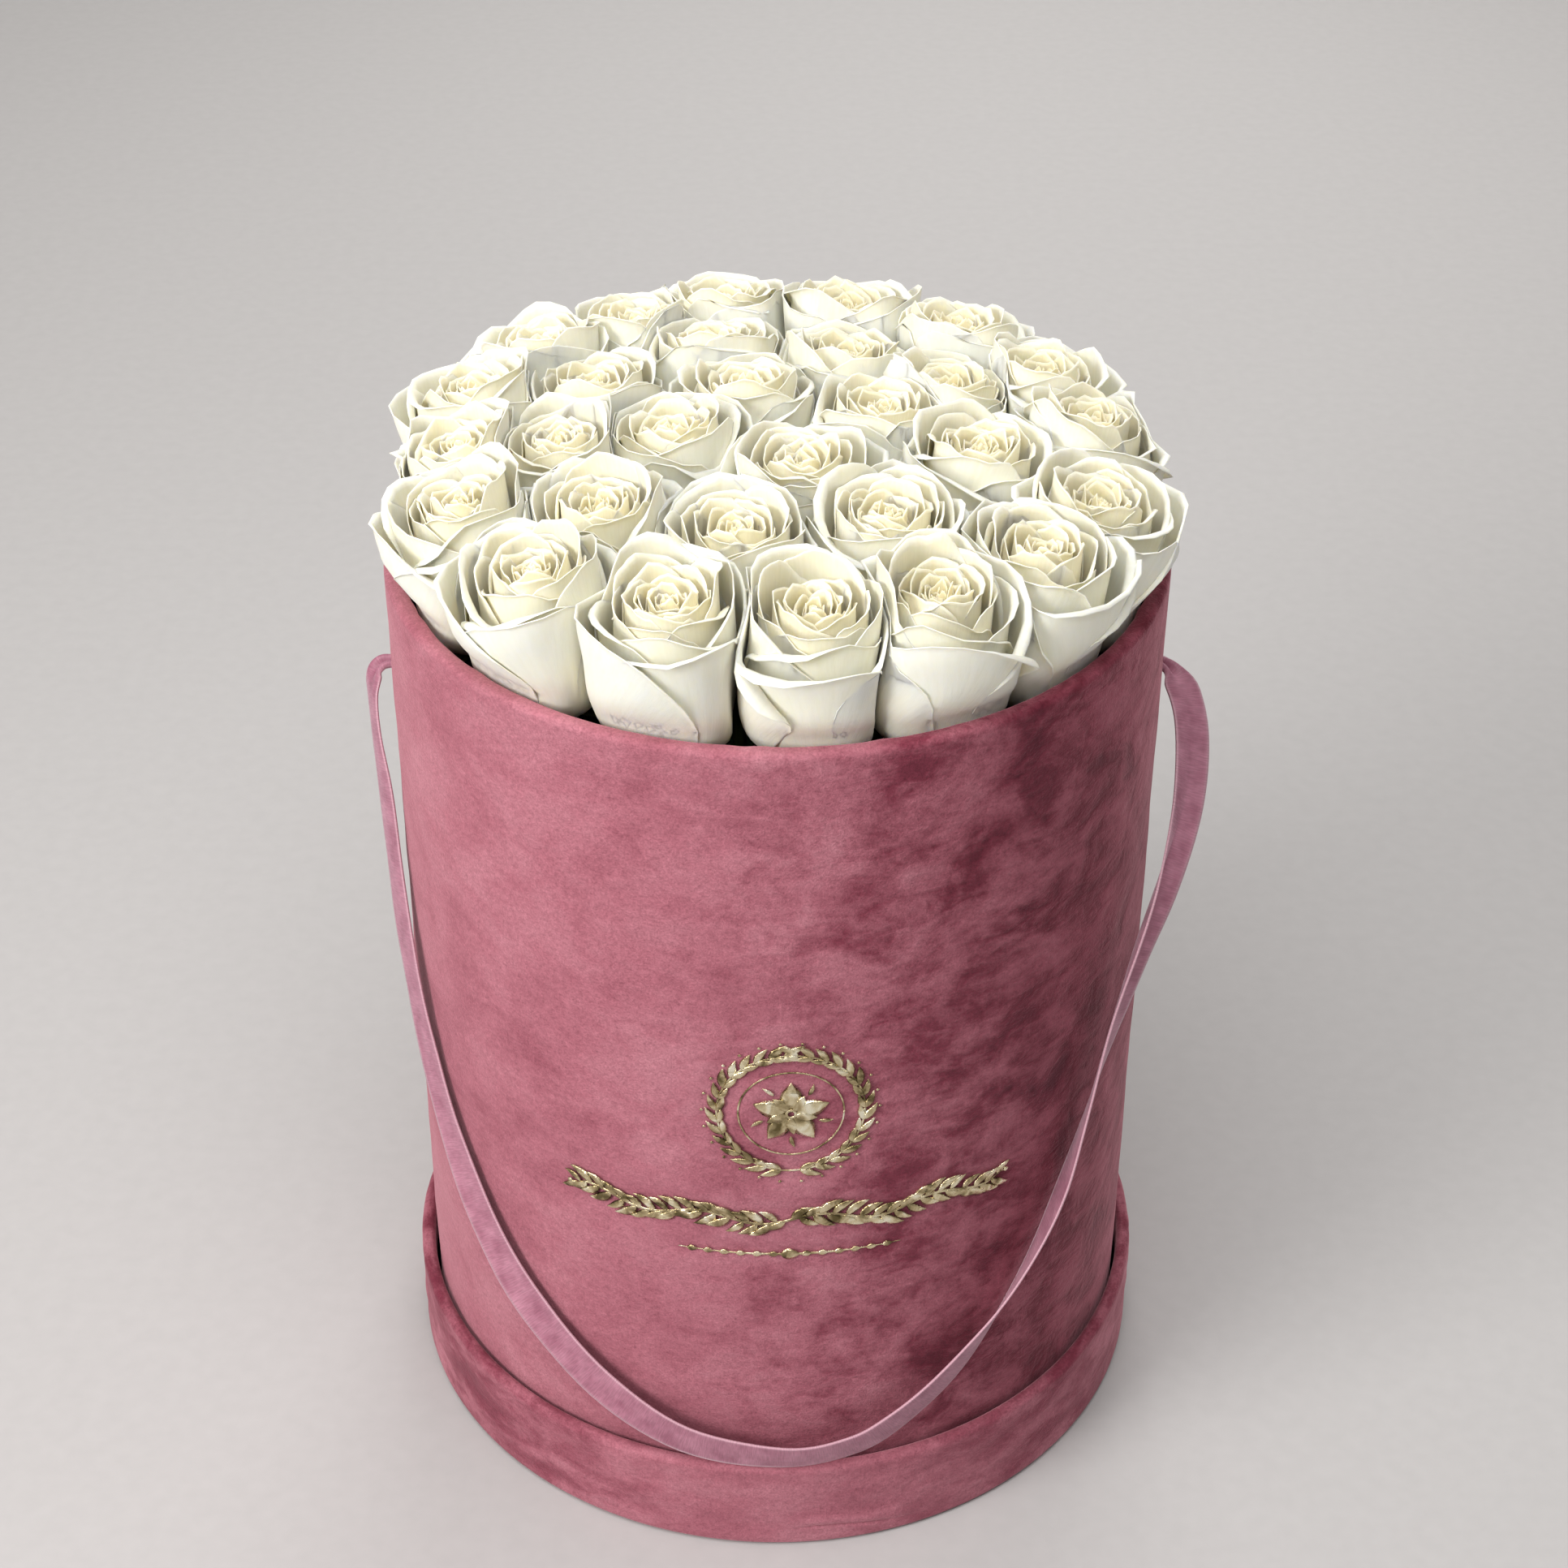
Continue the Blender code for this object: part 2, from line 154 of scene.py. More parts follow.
# A round tube along a path of points, its ends closed. The section starts square to the path.
def tube(path, radii, sides):
    path = np.asarray(path, float)
    along = np.gradient(path, axis=0)
    along /= np.linalg.norm(along, axis=1)[:, None]
    guide = np.array([0.31, 0.95, 0.05]) if abs(along[:, 2]).mean() > 0.6 else np.array([0.0, 0.0, 1.0])
    first = np.cross(along, guide)
    first /= np.linalg.norm(first, axis=1)[:, None]
    second = np.cross(along, first)
    turn = np.arange(sides) * math.tau / sides
    ring = first[:, None] * np.cos(turn)[None, :, None] + second[:, None] * np.sin(turn)[None, :, None]
    points = path[:, None] + ring * np.asarray(radii, float)[:, None, None]
    count = len(path) * sides
    quads = gridQuads(len(path), sides, True)
    caps = np.arange(sides)
    tail = np.stack([caps, np.roll(caps, -1), np.full(sides, count)], -1)[:, ::-1]
    head = np.stack([caps + count - sides, np.roll(caps, -1) + count - sides, np.full(sides, count + 1)], -1)
    points = np.concatenate([points.reshape(-1, 3), path[:1], path[-1:]])
    return points, quads, np.concatenate([tail, head])


# A look under construction: its nodes, its shader, and short ways to add what the looks share.
class Look:
    def __init__(self, name, roughness=0.5, metallic=0.0):
        self.material = bpy.data.materials.new(name)
        self.material.use_nodes = True
        self.tree = self.material.node_tree
        self.shader = self.tree.nodes["Principled BSDF"]
        self.set("Roughness", roughness)
        self.set("Metallic", metallic)

    def set(self, socket, value):
        self.shader.inputs[socket].default_value = value

    def join(self, source, target):
        self.tree.links.new(source, target)

    def place(self, kind="Object", scale=(1.0, 1.0, 1.0)):
        coordinates = self.tree.nodes.new("ShaderNodeTexCoord")
        mapping = self.tree.nodes.new("ShaderNodeMapping")
        mapping.inputs["Scale"].default_value = scale
        self.join(coordinates.outputs[kind], mapping.inputs["Vector"])
        return mapping.outputs["Vector"]

    def noise(self, place, scale, detail=3.0, roughness=0.5, distortion=0.0):
        node = self.tree.nodes.new("ShaderNodeTexNoise")
        node.inputs["Scale"].default_value = scale
        node.inputs["Detail"].default_value = detail
        node.inputs["Roughness"].default_value = roughness
        node.inputs["Distortion"].default_value = distortion
        self.join(place, node.inputs["Vector"])
        return node.outputs["Fac"]

    def math(self, kind, first, second=None, third=None):
        node = self.tree.nodes.new("ShaderNodeMath")
        node.operation = kind
        for socket, value in zip(node.inputs, (first, second, third)):
            if isinstance(value, (int, float)):
                socket.default_value = value
            elif value is not None:
                self.join(value, socket)
        return node.outputs[0]

    def ramp(self, value, stops):
        node = self.tree.nodes.new("ShaderNodeValToRGB")
        while len(node.color_ramp.elements) < len(stops):
            node.color_ramp.elements.new(0.5)
        for element, (place, colour) in zip(node.color_ramp.elements, stops):
            element.position = place
            element.color = (*colour, 1.0)
        self.join(value, node.inputs["Fac"])
        return node.outputs["Color"]

    def blend(self, share, first, second, kind="MIX"):
        node = self.tree.nodes.new("ShaderNodeMix")
        node.data_type = "RGBA"
        node.blend_type = kind
        for socket, value in ((node.inputs[0], share), (node.inputs[6], first), (node.inputs[7], second)):
            if isinstance(value, (int, float)):
                socket.default_value = value
            elif isinstance(value, tuple):
                socket.default_value = (*value, 1.0)
            else:
                self.join(value, socket)
        return node.outputs[2]

    def number(self, name):
        node = self.tree.nodes.new("ShaderNodeAttribute")
        node.attribute_name = name
        return node.outputs["Fac"]

    def colour(self, value):
        self.join(value, self.shader.inputs["Base Color"])

    def rough(self, value, low, high):
        node = self.tree.nodes.new("ShaderNodeMapRange")
        node.inputs["To Min"].default_value = low
        node.inputs["To Max"].default_value = high
        self.join(value, node.inputs["Value"])
        self.join(node.outputs["Result"], self.shader.inputs["Roughness"])

    def bump(self, height, depth, strength=1.0, before=None):
        node = self.tree.nodes.new("ShaderNodeBump")
        node.inputs["Distance"].default_value = depth
        node.inputs["Strength"].default_value = strength
        self.join(height, node.inputs["Height"])
        if before:
            self.join(before, node.inputs["Normal"])
        self.join(node.outputs["Normal"], self.shader.inputs["Normal"])
        return node.outputs["Normal"]


# Velvet: soft shading where the nap leans, blotches where a hand crushed it, faint brush marks across them,
# and the fine pile. Away from a middle length the blotches grow stronger and the colour deeper and darker:
# painted shade, on the box on the right of the front and at the back, away from the key light on the left.
# crush: depth of the crushed places. stretch: of the blotches, along and up. crushShadeMiddle: length along
# the side from which the crushed and shaded share grows both ways. crushShadeFrom, crushShadeFull: five times
# the length where it starts and is full. least: darkest blotch. deepestShade: painted shade colour that the
# nap is multiplied by where it is full.
boxPile = {
    "name": "boxVelvet", "crush": 0.0014, "stretch": (1.0, 1.15, 1.0),
    "crushShadeMiddle": 0.10, "crushShadeFrom": 0.38, "crushShadeFull": 0.80,
    "least": 0.08, "deepestShade": (0.60, 0.36, 0.43),
}
lidPile = {
    "name": "lidVelvet", "crush": 0.0012, "stretch": (0.7, 1.5, 1.0),
    "crushShadeMiddle": 0.0, "crushShadeFrom": 0.0, "crushShadeFull": 0.60,
    "least": 0.24, "deepestShade": (0.88, 0.80, 0.83),
}


def velvetLook(pile):
    look = Look(pile["name"], 0.62)
    cloth = look.place("UV")
    nap = look.noise(cloth, 11.0, 3.0, 0.5, 0.5)
    blotch = look.noise(look.place("UV", pile["stretch"]), 46.0, 5.0, 0.60, 0.5)
    small = look.noise(cloth, 210.0, 4.0, 0.65, 0.6)
    brushed = look.noise(look.place("UV", (0.6, 1.6, 1.0)), 120.0, 3.0, 0.6, 0.8)
    hairs = look.noise(cloth, 1500.0, 2.0, 0.75)
    speck = look.noise(cloth, 620.0, 2.0, 0.6)
    fibre = look.noise(cloth, 330.0, 4.0, 0.75, 1.4)
    ends = look.tree.nodes.new("ShaderNodeSeparateXYZ")
    look.join(cloth, ends.inputs["Vector"])
    # the crushed share, which also darkens the colour as painted shade, with an uneven border
    sway = look.math("MULTIPLY_ADD", nap, 0.12, -0.06)
    length = look.math("ABSOLUTE", look.math("ADD", ends.outputs["X"], pile["crushShadeMiddle"]))
    reach = look.math("ADD", length, sway)
    share = look.ramp(look.math("MULTIPLY", reach, 5.0),
                      ((pile["crushShadeFrom"], (0.30,) * 3), (pile["crushShadeFull"], (1.0,) * 3)))
    crushed = look.math("MULTIPLY_ADD", blotch, 0.62, look.math("MULTIPLY", small, 0.16))
    crushed = look.math("ADD", crushed, look.math("MULTIPLY", brushed, 0.22))
    patch = look.ramp(crushed, ((0.37, (pile["least"],) * 3), (0.47, (0.45,) * 3),
                                (0.55, (0.72,) * 3), (0.66, (1.0,) * 3)))
    flatPatch = look.blend(share, (0.86, 0.86, 0.86), patch)
    both = look.math("MULTIPLY_ADD", nap, 0.42, look.math("MULTIPLY", flatPatch, 0.58))
    shade = look.ramp(both, ((0.20, (0.085, 0.011, 0.024)), (0.42, (0.200, 0.040, 0.065)),
                             (0.64, (0.390, 0.136, 0.178)), (0.84, (0.500, 0.220, 0.268))))
    # painted shade: further round from the middle, away from the key light, the colour is multiplied deeper
    # and darker
    paintedShade = look.ramp(look.math("MULTIPLY", reach, 5.0),
                     ((pile["crushShadeFrom"] + 0.22, (1.0, 1.0, 1.0)), (pile["crushShadeFull"] + 0.40, pile["deepestShade"])))
    shade = look.blend(1.0, shade, paintedShade, "MULTIPLY")
    grain = look.math("MULTIPLY_ADD", hairs, 0.45, look.math("MULTIPLY", speck, 0.25))
    grain = look.math("MULTIPLY_ADD", fibre, 0.30, grain)
    fleck = look.ramp(grain, ((0.34, (0.62, 0.56, 0.58)), (0.66, (1.24, 1.24, 1.24))))
    look.colour(look.blend(1.0, shade, fleck, "MULTIPLY"))
    look.rough(both, 0.85, 0.55)
    look.set("Sheen Weight", 0.50)
    look.set("Sheen Roughness", 0.38)
    look.set("Sheen Tint", (1.0, 0.50, 0.58, 1.0))
    look.set("Specular IOR Level", 0.08)
    soft = look.bump(both, pile["crush"], 0.7)
    look.bump(hairs, 0.00025, 0.8, soft)
    return look.material


# Petal: ivory that warms towards the heart, and towards the foot with a painted warm glow standing in for
# light through and between the petals, a thin pale edge, and fine veins along it.
def petalLook():
    look = Look("rosePetal", 0.50)
    veins = look.place("UV", (34.0, 1.6, 1.0))
    cloud = look.noise(look.place("Object"), 130.0, 3.0, 0.6)
    vein = look.noise(veins, 2.2, 3.0, 0.6)
    # the heart number holds the petal's own warmth towards the heart and the painted glow deep between petals
    warm = look.number("heart")
    tone = look.math("ADD", warm, look.math("MULTIPLY_ADD", cloud, 0.30, -0.15))
    ivory = look.ramp(tone, ((0.0, (0.895, 0.890, 0.795)), (0.26, (0.930, 0.888, 0.725)),
                             (0.60, (0.955, 0.880, 0.655)), (1.0, (0.965, 0.850, 0.545))))
    pale = look.blend(look.math("MULTIPLY", look.number("edge"), 0.22), ivory, (0.950, 0.940, 0.890))
    shade = look.ramp(vein, ((0.35, (0.965, 0.960, 0.940)), (0.65, (1.0, 1.0, 1.0))))
    look.colour(look.blend(1.0, pale, shade, "MULTIPLY"))
    look.set("Subsurface Weight", 0.5)
    look.set("Subsurface Radius", (1.0, 0.80, 0.45))
    look.set("Subsurface Scale", 0.0009)
    look.set("Specular IOR Level", 0.28)
    look.set("Sheen Weight", 0.15)
    look.set("Sheen Roughness", 0.5)
    look.bump(vein, 0.00022, 0.45)
    return look.material


def greenLook():
    look = Look("roseGreen", 0.45)
    grain = look.noise(look.place("Object", (1.0, 1.0, 0.12)), 900.0, 3.0)
    cloud = look.noise(look.place("Object"), 90.0, 2.0)
    both = look.math("MULTIPLY_ADD", grain, 0.5, look.math("MULTIPLY", cloud, 0.5))
    look.colour(look.ramp(both, ((0.35, (0.050, 0.105, 0.020)), (0.65, (0.165, 0.235, 0.062)))))
    look.bump(grain, 0.0002, 0.5)
    return look.material


# Ribbon: cross ribs of the weave, a tight selvedge at both edges lightened as a painted highlight, slight
# crumple.
def ribbonLook():
    look = Look("ribbonWeave", 0.55)
    ribs = look.noise(look.place("UV", (3.0, 2600.0, 1.0)), 1.0, 1.0)
    crumple = look.noise(look.place("Object"), 150.0, 3.0)
    edge = look.number("edge")
    body = look.ramp(crumple, ((0.30, (0.300, 0.098, 0.155)), (0.70, (0.440, 0.185, 0.260))))
    # painted highlight: the colour turns lighter along both selvedges
    edgeHighlighted = look.blend(edge, body, (0.560, 0.320, 0.390))
    rib = look.ramp(ribs, ((0.35, (0.84, 0.84, 0.84)), (0.65, (1.08, 1.08, 1.08))))
    look.colour(look.blend(1.0, edgeHighlighted, rib, "MULTIPLY"))
    look.rough(ribs, 0.62, 0.45)
    look.set("Sheen Weight", 0.35)
    look.set("Sheen Roughness", 0.35)
    look.set("Sheen Tint", (1.0, 0.78, 0.88, 1.0))
    soft = look.bump(crumple, 0.0008, 0.5)
    look.bump(ribs, 0.00012, 0.6, soft)
    return look.material


# Foil: champagne gold, crinkled where the pile under it shows through. Its colour runs from dark olive to
# pale over the folds, painted reflections of the crinkled metal.
def foilLook():
    look = Look("goldFoil", 0.30, 1.0)
    crinkle = look.noise(look.place("Object"), 620.0, 3.0, 0.6)
    fold = look.noise(look.place("Object"), 210.0, 2.0, 0.5, 0.6)
    # painted reflections: dark and bright colour over the folds
    look.colour(look.ramp(fold, ((0.34, (0.150, 0.115, 0.050)), (0.47, (0.480, 0.385, 0.215)),
                                 (0.58, (0.760, 0.660, 0.430)), (0.70, (0.960, 0.910, 0.720)))))
    look.rough(crinkle, 0.16, 0.40)
    soft = look.bump(fold, 0.0012, 0.8)
    look.bump(crinkle, 0.0005, 0.8, soft)
    return look.material


def boardLook():
    look = Look("greyBoard", 0.92)
    speck = look.noise(look.place("Object"), 1500.0, 3.0, 0.7)
    layer = look.noise(look.place("Object", (1.0, 1.0, 9.0)), 160.0, 2.0)
    both = look.math("MULTIPLY_ADD", speck, 0.6, look.math("MULTIPLY", layer, 0.4))
    look.colour(look.ramp(both, ((0.35, (0.170, 0.150, 0.125)), (0.65, (0.340, 0.310, 0.270)))))
    look.bump(both, 0.0003, 0.6)
    return look.material


def liningLook():
    look = Look("blackLining", 0.62)
    fibre = look.noise(look.place("Object", (1.0, 1.0, 0.35)), 1100.0, 4.0, 0.7)
    cloud = look.noise(look.place("Object"), 35.0, 2.0)
    both = look.math("MULTIPLY_ADD", fibre, 0.7, look.math("MULTIPLY", cloud, 0.3))
    look.colour(look.ramp(both, ((0.35, (0.006, 0.006, 0.007)), (0.65, (0.022, 0.020, 0.021)))))
    look.rough(fibre, 0.50, 0.75)
    look.bump(fibre, 0.0002, 0.5)
    return look.material


def filmLook():
    look = Look("linerFilm", 0.28)
    crease = look.noise(look.place("Object"), 60.0, 5.0, 0.6, 1.2)
    look.colour(look.ramp(crease, ((0.35, (0.010, 0.010, 0.011)), (0.65, (0.030, 0.030, 0.032)))))
    look.rough(crease, 0.20, 0.42)
    look.bump(crease, 0.002, 0.6)
    return look.material


def foamLook(name, dark, light, pores):
    look = Look(name, 0.95)
    pore = look.tree.nodes.new("ShaderNodeTexVoronoi")
    pore.inputs["Scale"].default_value = pores
    look.join(look.place("Object"), pore.inputs["Vector"])
    cloud = look.noise(look.place("Object"), 45.0, 3.0)
    both = look.math("MULTIPLY_ADD", pore.outputs["Distance"], 0.6, look.math("MULTIPLY", cloud, 0.4))
    look.colour(look.ramp(both, ((0.20, dark), (0.62, light))))
    look.bump(pore.outputs["Distance"], 0.0006, 0.8)
    return look.material


camera = {
    "place": (-0.0005, -0.7455, 0.7186),
    "down": 34.79,      # degrees below level
    "turn": 0.20,       # degrees to the right
    "roll": 0.22,
    "lens": 70.32,      # millimetres
    "sensor": 36.0,     # millimetres, square
}


def makeCamera():
    data = bpy.data.cameras.new("camera")
    data.lens = camera["lens"]
    data.sensor_width = camera["sensor"]
    thing = bpy.data.objects.new("camera", data)
    bpy.context.scene.collection.objects.link(thing)
    aim = Matrix.Rotation(math.radians(-camera["turn"]), 4, "Z")
    aim = aim @ Matrix.Rotation(math.radians(90 - camera["down"]), 4, "X")
    aim = aim @ Matrix.Rotation(math.radians(camera["roll"]), 4, "Z")
    thing.matrix_world = Matrix.Translation(camera["place"]) @ aim
    bpy.context.scene.camera = thing


makeCamera()
say("camera is in place")

studio = {
    "floor": (0.47, 0.46, 0.465), "floorHalf": 3.0,     # colour, and half its width in metres
    "sky": (1.0, 0.965, 0.91), "skyStrength": 0.33,
    # name: (place, aim, size, watts, colour)
    "key": ((-1.20, -1.00, 0.95), (0.0, 0.0, 0.18), 0.9, 24.5, (1.0, 0.98, 0.94)),
    "top": ((-0.05, -0.55, 1.55), (0.0, 0.0, 0.30), 1.2, 16.0, (1.0, 0.99, 0.97)),
    "side": ((1.30, -0.05, 0.80), (0.0, 0.0, 0.25), 0.8, 0.8, (0.96, 0.97, 1.0)),
    "back": ((0.20, 1.40, 1.05), (0.0, 0.0, 0.20), 1.0, 11.0, (1.0, 0.98, 0.95)),
}


def makeStudio():
    floorLook = Look("paleFloor", 0.75)
    grain = floorLook.noise(floorLook.place("Object"), 160.0, 3.0)
    pale = studio["floor"]
    floorLook.colour(floorLook.ramp(grain, ((0.3, tuple(0.96 * c for c in pale)), (0.7, pale))))
    half = studio["floorHalf"]
    corners = np.array([(-half, -half, 0), (half, -half, 0), (half, half, 0), (-half, half, 0)])
    floor = makePiece("floor", corners, np.array([[0, 1, 2, 3]]), [floorLook.material])
    world = bpy.data.worlds.new("studio")
    world.use_nodes = True
    sky = world.node_tree.nodes["Background"]
    sky.inputs["Color"].default_value = (*studio["sky"], 1.0)
    sky.inputs["Strength"].default_value = studio["skyStrength"]
    bpy.context.scene.world = world
    bpy.context.scene.view_settings.view_transform = "Standard"
    for name in ("key", "top", "side", "back"):
        place, aim, size, watts, colour = studio[name]
        data = bpy.data.lights.new(name, "AREA")
        data.shape = "DISK"
        data.size = size
        data.energy = watts
        data.color = colour
        lamp = bpy.data.objects.new(name, data)
        lamp.location = place
        away = np.subtract(place, aim)
        away = away / np.linalg.norm(away)
        lamp.rotation_euler = (math.acos(away[2]), 0.0, math.atan2(away[1], away[0]) + math.pi / 2)
        bpy.context.scene.collection.objects.link(lamp)


makeStudio()

# places that come from the frame
foldThickness = 0.0007     # of the velvet folded in over a rim, beside the lining
sideLow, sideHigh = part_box("box_side_velvet")
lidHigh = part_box("lid_side_velvet")[1]
knotLow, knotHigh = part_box("ribbon_knot_right")
wall = {
    "radius": sideHigh.x, "bottom": sideLow.z, "top": sideHigh.z,
    "inner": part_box("box_lining_wall")[1].x - foldThickness,     # face of the velvet folded in over the rim
    "hole": (knotLow.z + knotHigh.z) / 2,                  # height of the two ribbon holes
}
lidWall = {
    "radius": lidHigh.x, "top": lidHigh.z,
    "inner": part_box("lid_lining_wall")[1].x - foldThickness,
}


# A point at an angle from the front, a distance from the middle and a height.
def around(angle, distance, height):
    return np.stack(np.broadcast_arrays(distance * np.sin(angle), -distance * np.cos(angle), height), -1)


# Points on an arc, between two angles in degrees.
def arc(middle, radius, first, last, count):
    turn = np.radians(np.linspace(first, last, count))
    return np.stack([middle[0] + radius * np.cos(turn), middle[1] + radius * np.sin(turn)], -1)


# Points on a straight line, without its two ends.
def line(start, end, count):
    return np.linspace(start, end, count + 2)[1:-1]


velvetCover = {
    "thickness": 0.0008,
    "edge": 0.0021,         # rounding of the rim's outer corner
    "innerEdge": 0.0017,
    "foldIn": 0.012,        # how far it is turned in over the rim
    "foot": 0.0983,         # inner radius of the strip turned in under the bottom
    "boxColumns": 372, "lidColumns": 420,
    "boxFootEdge": 0.0011, "lidFootEdge": 0.0024,     # rounding of the foot's corner
    "holeRadius": 0.0031,
}

# The foil stamping: lengths along the side from the front's middle, and heights.
foil = {
    "middle": 0.004, "radius": 0.11025, "thickness": 0.00030,
    "wreathHeight": 0.1675, "wreathRadius": 0.0205, "berries": 26,
    "garlandHeight": 0.1285, "garlandHalf": 0.066,
    "dividerHeight": 0.1155, "dividerHalf": 0.032,
}


# How deep the hot stamp pressed the pile: full on the wreath's ring and along both lines, fading out
# over three millimetres. x is the length along the side from the middle of the stamping.
def stampDepth(x, z):
    x = x - foil["middle"]
    ring = np.abs(np.hypot(x, z - foil["wreathHeight"]) - foil["wreathRadius"]) - 3.5 * mm
    heart = np.hypot(x, z - foil["wreathHeight"]) - 9 * mm
    garland = np.hypot(np.maximum(np.abs(x) - foil["garlandHalf"], 0), z - foil["garlandHeight"]) - 4.5 * mm
    divider = np.hypot(np.maximum(np.abs(x) - foil["dividerHalf"], 0), z - foil["dividerHeight"]) - 2 * mm
    nearest = np.minimum(np.minimum(ring, heart), np.minimum(garland, divider))
    return 0.35 * mm * smoothStep(1.0 - nearest / (3 * mm))


# The section of a cover, from its foot or middle underneath, up the side, over the rim and down inside.
def coverSection(radius, bottom, top, inner, footEdge, sideHeights, footSteps):
    edge, innerEdge = velvetCover["edge"], velvetCover["innerEdge"]
    return np.concatenate([
        np.stack([footSteps, np.full(len(footSteps), bottom)], -1),
        arc((radius - footEdge, bottom + footEdge), footEdge, -90, 0, 7),
        np.stack([np.full(len(sideHeights), radius), sideHeights], -1),
        arc((radius - edge, top - edge), edge, 0, 90, 9),
        line((radius - edge, top), (inner + innerEdge, top), 1),
        arc((inner + innerEdge, top - innerEdge), innerEdge, 90, 180, 7),
        np.linspace((inner, top - innerEdge), (inner, top - velvetCover["foldIn"]), 6)[1:],
    ])


def sectionLengths(section):
    steps = np.linalg.norm(np.diff(section, axis=0), axis=1)
    return np.concatenate([[0.0], np.cumsum(steps)])


# The glued seam up the back: half a millimetre deep and fading out over little more than one.
def seamDepth(angle, radius):
    return 0.5 * mm * np.exp(-((np.abs(angle) - math.pi) * radius / (1.2 * mm)) ** 2)


# The box's velvet: its section turned about the middle, slightly uneven on its side, pressed in
# where the foil is, with a glued seam up the back and two holes for the ribbon.
def boxVelvet(look):
    radius, bottom, top = wall["radius"], wall["bottom"], wall["top"]
    footEdge = velvetCover["boxFootEdge"]
    heights = denseSteps(bottom + footEdge, top - velvetCover["edge"], 96,
                         ((wall["hole"], 0.006, 2.5), (0.150, 0.030, 1.2), (top, 0.010, 1.5)))[1:-1]
    foot = np.linspace(velvetCover["foot"], radius - footEdge, 5)[:-1]
    section = coverSection(radius, bottom, top, wall["inner"], footEdge, heights, foot)
    quarter = math.pi / 2
    angles = denseSteps(-math.pi, math.pi, velvetCover["boxColumns"] + 1,
                        ((-quarter, 0.07, 2.5), (quarter, 0.07, 2.5), (0.0, 0.55, 0.8)))
    lengths = sectionLengths(section)
    angle, r = np.meshgrid(angles[:-1], section[:, 0])
    height = np.repeat(section[:, 1:], len(angles) - 1, axis=1)
    x = angle * radius
    onSide = smoothStep((height - bottom - 3 * mm) / (8 * mm)) * (r > radius - 1.2 * mm)
    lean = waves(x, height, 0.055, 6, 21) * 0.10 * mm + waves(x, height, 0.016, 7, 22) * 0.05 * mm
    seam = seamDepth(angle, radius)
    holeAway = np.hypot((np.abs(angle) - quarter) * radius, height - wall["hole"])
    pucker = 0.7 * mm * np.exp(-(holeAway / (5 * mm)) ** 2)
    r = r + onSide * (lean - stampDepth(x, height) - seam - pucker)
    r = r - 0.15 * mm * (1 - onSide) * waves(x, lengths[:, None] + 0 * x, 0.020, 5, 24) ** 2 * (height > 0.1)
    quads = gridQuads(len(section), len(angles) - 1, True)
    flatMap = gridMap(angles * radius, lengths)
    # the holes: faces whose middle is inside are left out, and the edge left is drawn onto a circle
    onHole = (holeAway < velvetCover["holeRadius"]) & (r > radius - 3 * mm)
    gone = onHole.reshape(-1)[quads].any(axis=1)
    inside = np.zeros(angle.size, bool)
    inside[np.unique(quads[gone])] = True
    inside = inside.reshape(angle.shape)
    share = velvetCover["holeRadius"] / np.maximum(holeAway, 1e-6)
    side = np.sign(angle)
    angle = np.where(inside, side * (quarter + (np.abs(angle) - quarter) * share), angle)
    height = np.where(inside, wall["hole"] + (height - wall["hole"]) * share, height)
    points = around(angle, r, height).reshape(-1, 3)
    kept = ~gone
    used = np.zeros(len(points), bool)
    used[np.unique(quads[kept])] = True
    renumber = np.cumsum(used) - 1
    piece = makePiece("boxVelvet", points[used], renumber[quads[kept]], [look], flatMap[kept])
    thicken(piece, velvetCover["thickness"])
    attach(piece, "box")
    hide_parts("box_side_velvet")


